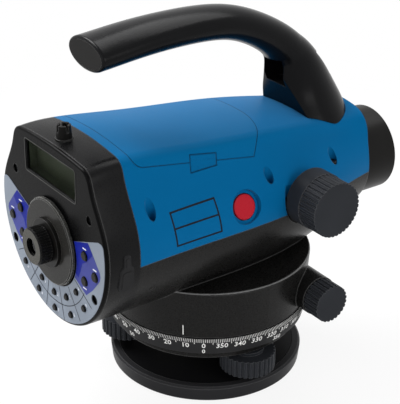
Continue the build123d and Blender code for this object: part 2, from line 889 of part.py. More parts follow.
# Battery pack in its bay
with BuildPart() as battery_pack:
    with Locations((0, (battery_front_y + battery_rear_y) / 2, bay_floor_z)):
        Box(
            2 * battery_half_width,
            battery_rear_y - battery_front_y,
            battery_h,
            align=(Align.CENTER, Align.CENTER, Align.MIN),
        )
    chamfer(battery_pack.edges().filter_by(Axis.Y), battery_edge)
battery_pack.part.label = "battery_pack"
export_step(battery_pack.part, "parts/battery_pack.step")


def grip_section(grip):
    """Oval section of the handle, square to the handle's run at that place."""
    run = (0, cos(radians(grip.lean)), -sin(radians(grip.lean)))
    with BuildSketch(Plane(origin=(0, grip.y, grip.z), x_dir=(1, 0, 0), z_dir=run)) as oval:
        with BuildLine():
            for start in (0, 180):
                EllipticalCenterArc((0, 0), grip.half_width, grip.half_depth, start_angle=start, arc_size=180)
        make_face()
    return oval.sketch


# Carrying handle: one arm on a wide foot with a flat front, and a sighting window through the foot
cap_half_width = grips[0].half_width - end_cap_margin
cap_half_depth = grips[0].half_depth - end_cap_margin
with BuildPart() as handle_foot:
    loft(sections=[grip_section(grip) for grip in grips[handle_knee:]])
    split(bisect_by=handle_front_plane, keep=Keep.TOP)

with BuildPart() as handle:
    loft(sections=[grip_section(grip) for grip in grips[: handle_knee + 1]])
    fillet(handle.faces().sort_by(Axis.Y)[0].edges(), handle_end_edge)
    add(handle_foot.part)
    add(seat_body, mode=Mode.SUBTRACT)
    with Locations((0, stations[-1].y, grips[-1].z)):
        Box(
            through,
            through,
            handle_trim_h,
            align=(Align.CENTER, Align.MIN, Align.CENTER),
            mode=Mode.SUBTRACT,
        )
    window_h = handle_window_high_z - handle_window_low_z
    with Locations((0, grips[-1].y, handle_window_low_z)):
        Box(
            2 * handle_window_half_width,
            through / 2,
            window_h,
            align=(Align.CENTER, Align.CENTER, Align.MIN),
            mode=Mode.SUBTRACT,
        )
    with Locations((0, tenon_y, tenon_z)):
        Box(tenon_width, tenon_length, tenon_h, align=(Align.CENTER, Align.CENTER, Align.MIN))
    with BuildSketch(across_sight(handle_end_y)):
        with Locations((0, grips[0].z)):
            Ellipse(cap_half_width + press_gap, cap_half_depth + press_gap)
    extrude(amount=-end_cap_t, mode=Mode.SUBTRACT)
handle.part.label = "handle"
export_step(handle.part, "parts/handle.step")

# Flat cap in the free end of the handle
with BuildPart() as handle_end_cap:
    with BuildSketch(across_sight(handle_end_y)):
        with Locations((0, grips[0].z)):
            Ellipse(cap_half_width, cap_half_depth)
    extrude(amount=-end_cap_t)
handle_end_cap.part.label = "handle_end_cap"
export_step(handle_end_cap.part, "parts/handle_end_cap.step")

# Keys: place, radius and name of each
Key = namedtuple("Key", "name x z r")
keys = []
for row_name, row_r in (("inner", fan_inner_r), ("outer", fan_outer_r)):
    for number in range(fan_keys):
        angle = radians(-90 + fan_step * (number - (fan_keys - 1) / 2))
        x = row_r * cos(angle)
        z = sight_z + row_r * sin(angle)
        keys.append(Key(f"key_fan_{row_name}_{number + 1}", x, z, key_r))
side_spots = [
    (side_inner_r, side_high_angle),
    (side_inner_r, side_low_angle),
    (side_outer_r, side_outer_angle),
]
for side, side_name in ((1, "right"), (-1, "left")):
    for number, (spot_r, spot_angle) in enumerate(side_spots):
        x = side * spot_r * cos(radians(spot_angle))
        z = sight_z + spot_r * sin(radians(spot_angle))
        keys.append(Key(f"key_side_{side_name}_{number + 1}", x, z, side_key_r))

# Keyboard panel: a flange against the housing and a spigot inside it
lcd_height = lcd_high_z - lcd_low_z + 2 * lcd_lip
lcd_width = 2 * (lcd_half_width + lcd_lip)
lcd_y = panel_y + lcd_recess
with BuildPart() as front_panel:
    extrude(section(stations[0], panel_y + panel_flange, 0.0), amount=panel_flange)
    fillet(front_panel.faces().sort_by(Axis.Y)[0].edges(), panel_edge)
    extrude(section(stations[0], panel_y + panel_flange, wall + panel_spigot_gap), amount=-panel_spigot)
    with BuildSketch(across_sight(panel_back_y)):
        with Locations(*[(side * x, z) for x, z in board_post_spots for side in (1, -1)]):
            Circle(board_post_r)
    extrude(amount=-(board_y - panel_back_y))
    with BuildSketch(across_sight(panel_y)):
        with Locations((0, sight_z)):
            Circle(eyepiece_body_r + seam_gap)
        with Locations((0, (lcd_low_z + lcd_high_z) / 2)):
            RectangleRounded(2 * lcd_half_width, lcd_high_z - lcd_low_z, lcd_corner_r)
        with Locations(*[(side * x, z) for x, z in panel_screw_spots for side in (1, -1)]):
            Circle(panel_screw_r / 2 + press_gap)
        for key in keys:
            with Locations((key.x, key.z)):
                Circle(key.r + 2 * running_gap)
    extrude(amount=-(panel_flange + panel_spigot), mode=Mode.SUBTRACT)
    lcd_rim = front_panel.faces().sort_by(Axis.Y)[0].inner_wires().sort_by(Axis.Z)[-1]
    chamfer(lcd_rim.edges(), lcd_bevel)
    with BuildSketch(across_sight(panel_y)):
        with Locations(*[(side * x, z) for x, z in panel_screw_spots for side in (1, -1)]):
            Circle(panel_screw_hole_r)
    extrude(amount=-panel_screw_sink, mode=Mode.SUBTRACT)
    # Pocket behind the display's opening
    with BuildSketch(across_sight(panel_back_y)):
        with Locations((0, (lcd_low_z + lcd_high_z) / 2)):
            Rectangle(lcd_width + 2 * seam_gap, lcd_height + 2 * seam_gap)
    extrude(amount=panel_flange + panel_spigot - lcd_recess, mode=Mode.SUBTRACT)
front_panel.part.label = "front_panel"
export_step(front_panel.part, "parts/front_panel.step")

# Four screws of the panel
with BuildPart() as panel_screws:
    with BuildSketch(across_sight(panel_y + panel_screw_sink)):
        with Locations(*[(side * x, z) for x, z in panel_screw_spots for side in (1, -1)]):
            Circle(panel_screw_r)
    extrude(amount=panel_screw_sink / 2)
    with BuildSketch(across_sight(panel_y + panel_screw_sink)):
        with Locations(*[(side * x, z) for x, z in panel_screw_spots for side in (1, -1)]):
            Circle(panel_screw_r / 2)
    extrude(amount=-panel_screw_length)
panel_screws.part.label = "panel_screws"
export_step(panel_screws.part, "parts/panel_screws.step")

# Display window and display module in the pocket of the panel
with BuildPart() as lcd_window:
    with BuildSketch(across_sight(lcd_y)):
        with Locations((0, (lcd_low_z + lcd_high_z) / 2)):
            Rectangle(lcd_width, lcd_height)
    extrude(amount=-lcd_window_t)
lcd_window.part.label = "lcd_window"
export_step(lcd_window.part, "parts/lcd_window.step")

with BuildPart() as lcd_module:
    with BuildSketch(across_sight(lcd_y + lcd_window_t)):
        with Locations((0, (lcd_low_z + lcd_high_z) / 2)):
            Rectangle(lcd_width, lcd_height)
    extrude(amount=-lcd_module_t)
lcd_module.part.label = "lcd_module"
export_step(lcd_module.part, "parts/lcd_module.step")

# Keypad film on the panel
film_r = stations[0].half_width - film_margin
film_slope = (film_shoulder_z - film_inner_z) / (film_shoulder_x - film_inner_r)
film_apex_z = film_shoulder_z - film_slope * film_shoulder_x
with BuildPart() as keypad_film:
    with BuildSketch(across_sight(panel_y)) as film_outline:
        with Locations((0, stations[0].widest_z)):
            Circle(film_r)
        with BuildLine():
            Polyline(
                (0, film_apex_z),
                (film_shoulder_x, film_shoulder_z),
                (2 * film_r, film_shoulder_z),
                (2 * film_r, 2 * parting_z),
                (-2 * film_r, 2 * parting_z),
                (-2 * film_r, film_shoulder_z),
                (-film_shoulder_x, film_shoulder_z),
                close=True,
            )
        make_face(mode=Mode.SUBTRACT)
        top_corners = film_outline.vertices().group_by(Axis.Y)[-1].sort_by(Axis.X)
        fillet([top_corners[0], top_corners[-1]], film_corner_r)
        with Locations((0, sight_z)):
            Circle(film_inner_r, mode=Mode.SUBTRACT)
        with Locations(*[(side * x, z) for x, z in panel_screw_spots for side in (1, -1)]):
            Circle(panel_screw_hole_r + slide_gap, mode=Mode.SUBTRACT)
        for key in keys:
            with Locations((key.x, key.z)):
                Circle(key.r + slide_gap, mode=Mode.SUBTRACT)
    extrude(amount=film_t)
keypad_film.part.label = "keypad_film"
export_step(keypad_film.part, "parts/keypad_film.step")

# Sixteen keys, each with a flange behind the panel
for key in keys:
    with BuildPart() as key_cap:
        with BuildSketch(across_sight(panel_back_y + running_gap)):
            with Locations((key.x, key.z)):
                Circle(key.r)
        extrude(amount=panel_flange + panel_spigot + key_rise)
        chamfer(key_cap.faces().sort_by(Axis.Y)[0].edges(), key_edge)
        with BuildSketch(across_sight(panel_back_y + running_gap)):
            with Locations((key.x, key.z)):
                Circle(key.r + key_flange)
        extrude(amount=-key_flange_t)
    key_cap.part.label = key.name
    export_step(key_cap.part, f"parts/{key.name}.step")

# Main board on the posts of the panel
with BuildPart() as main_board:
    with BuildSketch(across_sight(board_y)):
        with Locations((0, stations[0].widest_z)):
            Circle(board_r)
        with Locations((0, board_high_z)):
            Rectangle(2 * board_r, 2 * board_r, align=(Align.CENTER, Align.MIN), mode=Mode.SUBTRACT)
        with Locations((0, sight_z)):
            Circle(eyepiece_body_r + slide_gap, mode=Mode.SUBTRACT)
        with Locations(*[(side * x, z) for x, z in panel_screw_spots for side in (1, -1)]):
            Circle(panel_boss_r + slide_gap, mode=Mode.SUBTRACT)
    extrude(amount=-board_t)
main_board.part.label = "main_board"
export_step(main_board.part, "parts/main_board.step")

# Red measuring button with a flange inside the shell
with BuildPart() as measure_button:
    with Locations(button_plane.location):
        Cylinder(button_r, button_t, align=(Align.CENTER, Align.CENTER, Align.MAX))
        fillet(measure_button.edges().sort_by(Axis.X)[-1], button_edge)
measure_button.part.label = "measure_button"
export_step(measure_button.part, "parts/measure_button.step")

# Six screws of the upper shell
with BuildPart() as shell_screws:
    for x, y in shell_screw_spots:
        for side in (1, -1):
            with Locations((side * x, y, shell_pocket_z)):
                Cylinder(
                    shell_screw_head_r,
                    shell_screw_head_h,
                    align=(Align.CENTER, Align.CENTER, Align.MIN),
                )
                Cylinder(
                    shell_screw_r,
                    shell_screw_length,
                    align=(Align.CENTER, Align.CENTER, Align.MAX),
                )
shell_screws.part.label = "shell_screws"
export_step(shell_screws.part, "parts/shell_screws.step")

# Focus knob: smooth skirt and ribbed end
with BuildPart() as focus_knob:
    with BuildSketch(Plane.YZ.offset(focus_knob_back_x)):
        with Locations((focus_y, focus_z)):
            Circle(focus_knob_r)
            Circle(focus_shaft_r + press_gap, mode=Mode.SUBTRACT)
    extrude(amount=focus_knob_smooth)
    with BuildSketch(Plane.YZ.offset(focus_knob_back_x + focus_knob_smooth)):
        with Locations((focus_y, focus_z)):
            ribbed_sketch(focus_knob_end_r, focus_knob_ribs, focus_rib_depth)
    extrude(amount=focus_knob_x - focus_knob_back_x - focus_knob_smooth)
focus_knob.part.label = "focus_knob"
export_step(focus_knob.part, "parts/focus_knob.step")

# Focus shaft with its pinion
with BuildPart() as focus_pinion:
    with Locations((focus_pinion_x, focus_y, focus_z)):
        Cylinder(
            focus_pinion_r,
            focus_pinion_length,
            align=(Align.CENTER, Align.CENTER, Align.MIN),
            rotation=(0, 90, 0),
        )
        Cylinder(
            focus_shaft_r,
            focus_knob_back_x + focus_knob_smooth - focus_pinion_x,
            align=(Align.CENTER, Align.CENTER, Align.MIN),
            rotation=(0, 90, 0),
        )
focus_pinion.part.label = "focus_pinion"
export_step(focus_pinion.part, "parts/focus_pinion.step")

# Focus cell that slides in the tube, with an arm through the slot and a rack under the pinion
rack_high_z = focus_z - focus_pinion_r - slide_gap
rack_low_z = rack_high_z - focus_rack_h
with BuildPart() as focus_cell:
    with Locations((0, focus_y, sight_z)):
        Cylinder(tube_bore_r - running_gap, focus_cell_length, rotation=(90, 0, 0))
        Cylinder(focus_lens_r + press_gap, focus_cell_length, rotation=(90, 0, 0), mode=Mode.SUBTRACT)
    with Locations((rack_x, focus_y, rack_low_z)):
        Box(rack_t, 2 * focus_rack_half_length, focus_rack_h, align=(Align.MIN, Align.CENTER, Align.MIN))
    arm_start_x = (focus_lens_r + tube_bore_r) / 2
    with Locations((arm_start_x, focus_y, rack_low_z)):
        Box(
            rack_x - arm_start_x,
            2 * focus_arm_half_width,
            focus_rack_h,
            align=(Align.MIN, Align.CENTER, Align.MIN),
        )
focus_cell.part.label = "focus_cell"
export_step(focus_cell.part, "parts/focus_cell.step")

with BuildPart() as focus_lens:
    with Locations((0, focus_y, sight_z)):
        Cylinder(focus_lens_r, focus_lens_t, rotation=(90, 0, 0))
focus_lens.part.label = "focus_lens"
export_step(focus_lens.part, "parts/focus_lens.step")

# Telescope tube: square chamber for the beam splitter, then a round bore with a slot for the focus arm
with BuildPart() as telescope_tube:
    with BuildSketch(across_sight(eyepiece_back_y)):
        with Locations((0, sight_z)):
            Circle(tube_r)
    extrude(amount=-(tube_front_y - eyepiece_back_y))
    with BuildSketch(across_sight(splitter_block_y)):
        with Locations((0, sight_z)):
            Circle(tube_bore_r)
    extrude(amount=-(tube_front_y - splitter_block_y), mode=Mode.SUBTRACT)
    with BuildSketch(across_sight(eyepiece_back_y)):
        with Locations((0, sight_z)):
            Rectangle(splitter_side + 2 * press_gap, splitter_side + 2 * press_gap)
    extrude(amount=-(splitter_block_y - eyepiece_back_y), mode=Mode.SUBTRACT)
    # Flat pad and light well for the sensor board
    with Locations((0, splitter_y, sensor_pad_z)):
        Box(
            2 * tube_r,
            2 * (splitter_block_y - splitter_y),
            tube_r,
            align=(Align.CENTER, Align.CENTER, Align.MAX),
            mode=Mode.SUBTRACT,
        )
        Cylinder(light_well_r, tube_r, mode=Mode.SUBTRACT)
    # Slot for the focus arm
    with Locations((0, focus_y, rack_low_z - slide_gap)):
        Box(
            cut_reach,
            2 * (focus_arm_half_width + focus_half_travel + 2 * slide_gap),
            focus_rack_h + 2 * slide_gap,
            align=(Align.MIN, Align.CENTER, Align.MIN),
            mode=Mode.SUBTRACT,
        )
telescope_tube.part.label = "telescope_tube"
export_step(telescope_tube.part, "parts/telescope_tube.step")

# Beam splitter, sensor board and compensator
with BuildPart() as beam_splitter:
    with Locations((0, splitter_y, sight_z)):
        Box(splitter_side, splitter_side, splitter_side)
beam_splitter.part.label = "beam_splitter"
export_step(beam_splitter.part, "parts/beam_splitter.step")

with BuildPart() as sensor_board:
    with Locations((0, splitter_y, sensor_pad_z)):
        Box(
            sensor_board_width,
            sensor_board_length,
            sensor_board_t,
            align=(Align.CENTER, Align.CENTER, Align.MAX),
        )
sensor_board.part.label = "sensor_board"
export_step(sensor_board.part, "parts/sensor_board.step")

with BuildPart() as compensator:
    with BuildSketch(across_sight(compensator_y - compensator_length / 2)):
        with Locations((0, sight_z)):
            Circle(tube_bore_r - press_gap)
            Rectangle(compensator_window, compensator_window, mode=Mode.SUBTRACT)
    extrude(amount=-compensator_length)
compensator.part.label = "compensator"
export_step(compensator.part, "parts/compensator.step")

# Objective barrel over the front of the tube, and its lens
with BuildPart() as objective_barrel:
    with BuildSketch(Plane.YZ):
        with BuildLine():
            Polyline(
                (objective_back_y, sight_z + tube_r + press_gap),
                (tube_front_y, sight_z + tube_r + press_gap),
                (tube_front_y, sight_z + tube_bore_r),
                (lens_seat_y, sight_z + tube_bore_r),
                (lens_seat_y, sight_z + objective_bore_r),
                (objective_front_y, sight_z + objective_bore_r + objective_flare),
                (objective_front_y, sight_z + objective_r),
                (objective_back_y, sight_z + objective_r),
                close=True,
            )
        make_face()
    revolve(axis=Axis((0, 0, sight_z), (0, 1, 0)))
objective_barrel.part.label = "objective_barrel"
export_step(objective_barrel.part, "parts/objective_barrel.step")

with BuildPart() as objective_lens:
    with BuildSketch(Plane.YZ):
        with BuildLine():
            lens_r = objective_bore_r - press_gap
            Polyline(
                (lens_seat_y + objective_lens_t, sight_z),
                (lens_seat_y, sight_z),
                (lens_seat_y, sight_z + lens_r),
                (lens_seat_y + objective_lens_edge, sight_z + lens_r),
            )
            TangentArc(
                (lens_seat_y + objective_lens_t, sight_z),
                (lens_seat_y + objective_lens_edge, sight_z + lens_r),
                tangent=(0, 1),
            )
        make_face()
    revolve(axis=Axis((0, 0, sight_z), (0, 1, 0)))
objective_lens.part.label = "objective_lens"
export_step(objective_lens.part, "parts/objective_lens.step")

# Eyepiece tube with its hub and nose, the flat disc around it, the dioptre ring and the eye lens
with BuildPart() as eyepiece_tube:
    with BuildSketch(Plane.YZ):
        with BuildLine():
            Polyline(
                (eyepiece_back_y, sight_z + eyepiece_hollow_r),
                (eyepiece_back_y, sight_z + eyepiece_body_r),
                (disc_back_y, sight_z + eyepiece_body_r),
                (disc_back_y, sight_z + eyepiece_hub_r),
                (hub_front_y, sight_z + eyepiece_hub_r),
                (hub_front_y, sight_z + eyepiece_nose_r),
                (nose_front_y, sight_z + eyepiece_nose_r),
                (nose_front_y, sight_z + eyepiece_bore_r),
                (panel_y, sight_z + eyepiece_bore_r),
                (panel_y, sight_z + eyepiece_hollow_r),
                close=True,
            )
        make_face()
    revolve(axis=Axis((0, 0, sight_z), (0, 1, 0)))
eyepiece_tube.part.label = "eyepiece_tube"
export_step(eyepiece_tube.part, "parts/eyepiece_tube.step")

with BuildPart() as eyepiece_disc:
    with BuildSketch(across_sight(disc_back_y)):
        with Locations((0, sight_z)):
            Circle(disc_r)
            Circle(eyepiece_hub_r + press_gap, mode=Mode.SUBTRACT)
    extrude(amount=disc_back_y - disc_front_y)
    rims = eyepiece_disc.edges().filter_by(GeomType.CIRCLE).group_by(SortBy.RADIUS)[-1]
    chamfer(rims.sort_by(Axis.Y)[0], disc_edge)
eyepiece_disc.part.label = "eyepiece_disc"
export_step(eyepiece_disc.part, "parts/eyepiece_disc.step")

with BuildPart() as dioptre_ring:
    with BuildSketch(Plane.YZ):
        with BuildLine():
            Polyline(
                (hub_front_y - seam_gap, sight_z + eyepiece_nose_r + running_gap),
                (hub_front_y - seam_gap, sight_z + dioptre_r),
                (dioptre_front_y + dioptre_edge, sight_z + dioptre_r),
                (dioptre_front_y, sight_z + dioptre_r - dioptre_edge),
                (dioptre_front_y, sight_z + dioptre_hole_r),
                (dioptre_front_y + dioptre_lip, sight_z + dioptre_hole_r),
                (dioptre_front_y + dioptre_lip, sight_z + eyepiece_nose_r + running_gap),
                close=True,
            )
        make_face()
    revolve(axis=Axis((0, 0, sight_z), (0, 1, 0)))
    with BuildSketch(across_sight(hub_front_y - dioptre_lip)):
        with Locations((0, sight_z)):
            with PolarLocations(dioptre_r, dioptre_ribs):
                RegularPolygon(dioptre_rib_depth, 4)
    extrude(amount=hub_front_y - dioptre_front_y, mode=Mode.SUBTRACT)
dioptre_ring.part.label = "dioptre_ring"
export_step(dioptre_ring.part, "parts/dioptre_ring.step")

with BuildPart() as eyepiece_lens:
    with BuildSketch(across_sight(nose_front_y)):
        with Locations((0, sight_z)):
            Circle(eyepiece_bore_r - press_gap)
    extrude(amount=-eyepiece_lens_t)
eyepiece_lens.part.label = "eyepiece_lens"
export_step(eyepiece_lens.part, "parts/eyepiece_lens.step")

# Rear sight: a flanged post with a notched, hollow top
with BuildPart() as sight_post:
    with Locations((0, sight_y, sight_base_z)):
        Cylinder(sight_flange_r, sight_flange_h, align=(Align.CENTER, Align.CENTER, Align.MIN))
    with Locations((0, sight_y, sight_base_z + sight_flange_h)):
        Cone(sight_foot_r, sight_top_r, sight_h, align=(Align.CENTER, Align.CENTER, Align.MIN))
    with Locations((0, sight_y, sight_base_z + sight_flange_h + sight_h)):
        Cylinder(sight_bore_r, sight_h, mode=Mode.SUBTRACT)
        Box(2 * sight_foot_r, sight_slot, sight_h, mode=Mode.SUBTRACT)
        Box(sight_slot, 2 * sight_foot_r, sight_h, mode=Mode.SUBTRACT)
sight_post.part.label = "sight_post"
export_step(sight_post.part, "parts/sight_post.step")

# Circular level on the left side of the ledge
with BuildPart() as circular_level:
    with Locations((level_x, 0, ledge_z)):
        Cylinder(level_r, level_h, align=(Align.CENTER, Align.CENTER, Align.MIN))
    fillet(circular_level.edges().group_by(Axis.Z)[-1], level_edge)
    with Locations((level_x, 0, ledge_z + level_h)):
        Cylinder(level_bore_r, 2 * level_bore_depth, mode=Mode.SUBTRACT)
circular_level.part.label = "circular_level"
export_step(circular_level.part, "parts/circular_level.step")
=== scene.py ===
from math import cos, degrees, hypot, pi, radians, sin

import bpy
from mathutils import Matrix, Vector
from mathutils.geometry import delaunay_2d_cdt


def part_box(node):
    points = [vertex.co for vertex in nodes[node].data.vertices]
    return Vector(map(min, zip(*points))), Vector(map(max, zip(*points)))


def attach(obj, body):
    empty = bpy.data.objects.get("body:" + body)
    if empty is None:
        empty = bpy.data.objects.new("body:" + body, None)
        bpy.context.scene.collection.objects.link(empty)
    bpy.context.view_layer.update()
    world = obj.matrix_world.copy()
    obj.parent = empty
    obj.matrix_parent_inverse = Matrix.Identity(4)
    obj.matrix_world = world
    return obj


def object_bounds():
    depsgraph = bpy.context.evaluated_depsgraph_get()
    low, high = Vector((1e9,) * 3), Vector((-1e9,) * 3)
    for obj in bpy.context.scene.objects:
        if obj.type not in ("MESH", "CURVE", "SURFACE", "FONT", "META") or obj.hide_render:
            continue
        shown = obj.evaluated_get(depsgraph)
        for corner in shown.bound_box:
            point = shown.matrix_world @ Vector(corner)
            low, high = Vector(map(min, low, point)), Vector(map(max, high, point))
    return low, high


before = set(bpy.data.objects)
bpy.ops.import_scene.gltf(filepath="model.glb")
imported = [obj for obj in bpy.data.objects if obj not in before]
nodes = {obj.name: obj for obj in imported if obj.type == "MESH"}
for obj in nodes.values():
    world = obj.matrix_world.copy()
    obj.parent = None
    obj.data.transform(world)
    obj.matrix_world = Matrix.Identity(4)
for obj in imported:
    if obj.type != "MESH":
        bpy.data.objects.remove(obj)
cad_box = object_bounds()

# Sizes are millimetres and degrees; only the floor, the lamps and the camera's range are in metres
mm = 0.001


def box_mm(node):
    """Lowest and highest corner of a solid."""
    low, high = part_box(node)
    return low / mm, high / mm


# Places that the details share with the solids
disc_low, disc_high = box_mm("eyepiece_disc")
ring_high = box_mm("circle_ring")[1]
sight_z = (disc_low.z + disc_high.z) / 2
disc_r = (disc_high.x - disc_low.x) / 2
film_y = box_mm("keypad_film")[0].y
panel_y = box_mm("front_panel")[0].y
drum_low_z = box_mm("lower_casing")[0].z
housing_back_y = -78.0
drum_r = 58.6
ledge_z = 71.0

# Rays that find a surface start outside it, beside the part or around the circle and the drum
ray_side_x = cad_box[1][0] / mm + 1
ray_round_r = ring_high.x + 5

# A print lies this far above its surface, and its lower face just inside it
print_t = 0.06
print_sink = 0.02


# Patterns of the surfaces

# Part of a noise that is spread over the whole range, and octaves of the fine noise
noise_span = (0.3, 0.7)
fine_detail = 2.0
sheen_rough = 0.35
bevel_samples = 4
# Noise that shows as pale specks, the paint's crinkle with painted glints, and how much paler they
# are
speck_span = (0.52, 0.70)
speck_gain = 5.0
# Half width of the step to the plainer part of a casting, and the share of dents that it keeps
smooth_blend = 0.2
smooth_dents = 0.2
# Painted highlight line on a drum's rounded upper edge: how far inside the edge, half its width,
# its grey
rim_highlight_inset = 0.35
rim_highlight_reach = 0.38
rim_highlight_grey = 0.16
# Y part of the normal where a face counts as turned to the front and takes its painted reflection,
# and where it no longer does
front_reflection_span = (-0.98, -0.90)
# Match of the rounded and the true normal where an edge wholly takes its edge colour, and where it
# keeps its own
wear_and_light_span = (0.80, 0.99)
# An edge colour that isn't given is paler, rubbed paint with a painted highlight: this many times
# the colour, plus a grey
rubbed_highlight_gain = 2.2
rubbed_highlight_lift = 0.16
# Pits: how uneven their grid is, and the distances from their middles to bottom and edge
pit_random = 0.15
pit_span = (0.15, 0.45)
# Glass: size of its patches, how much paler they get, and the tint of its coating
glass_patch = 16.0
glass_gain = 1.06
glass_coat = (0.55, 0.75, 1.0, 1.0)


def principled(name):
    material = bpy.data.materials.new(name)
    material.use_nodes = True
    tree = material.node_tree
    return material, tree, tree.nodes["Principled BSDF"]


def add_noise(tree, coords, size, detail=3.0):
    """Noise with features of about the given size."""
    noise = tree.nodes.new("ShaderNodeTexNoise")
    noise.inputs["Scale"].default_value = 1 / (size * mm)
    noise.inputs["Detail"].default_value = detail
    tree.links.new(coords, noise.inputs["Vector"])
    return noise.outputs["Fac"]


def add_ramp(tree, source, low, high):
    """Turns a noise into a drift between two colours."""
    ramp = tree.nodes.new("ShaderNodeValToRGB")
    for element, position, colour in zip(ramp.color_ramp.elements, noise_span, (low, high)):
        element.position = position
        element.color = (*colour, 1.0)
    tree.links.new(source, ramp.inputs["Fac"])
    return ramp.outputs["Color"]


def add_range(tree, source, low, high, start=0.0, end=1.0):
    """Spreads a value between start and end over the range from low to high."""
    spread = tree.nodes.new("ShaderNodeMapRange")
    spread.inputs["From Min"].default_value = start
    spread.inputs["From Max"].default_value = end
    spread.inputs["To Min"].default_value = low
    spread.inputs["To Max"].default_value = high
    tree.links.new(source, spread.inputs["Value"])
    return spread.outputs["Result"]


def add_mix(tree, share, first, second):
    """Blends two colours, each either a plain value or another node's output."""
    mix = tree.nodes.new("ShaderNodeMix")
    mix.data_type = "RGBA"
    tree.links.new(share, mix.inputs["Factor"])
    for slot, colour in (("A", first), ("B", second)):
        socket = [s for s in mix.inputs if s.name == slot and s.type == "RGBA"][0]
        if isinstance(colour, tuple):
            socket.default_value = colour
        else:
            tree.links.new(colour, socket)
    return [s for s in mix.outputs if s.type == "RGBA"][0]


def add_math(tree, operation, *terms):
    """One operation on plain numbers and other nodes' outputs."""
    node = tree.nodes.new("ShaderNodeMath")
    node.operation = operation
    for socket, term in zip(node.inputs, terms):
        if isinstance(term, float):
            socket.default_value = term
        else:
            tree.links.new(term, socket)
    return node.outputs["Value"]


def add_vector_math(tree, operation, *terms):
    """The length of a vector, or the match of two."""
    node = tree.nodes.new("ShaderNodeVectorMath")
    node.operation = operation
    for socket, term in zip(node.inputs, terms):
        tree.links.new(term, socket)
    return node.outputs["Value"]


def add_axes(tree, vector):
    """The three parts of a vector, by their letters."""
    node = tree.nodes.new("ShaderNodeSeparateXYZ")
    tree.links.new(vector, node.inputs["Vector"])
    return node.outputs


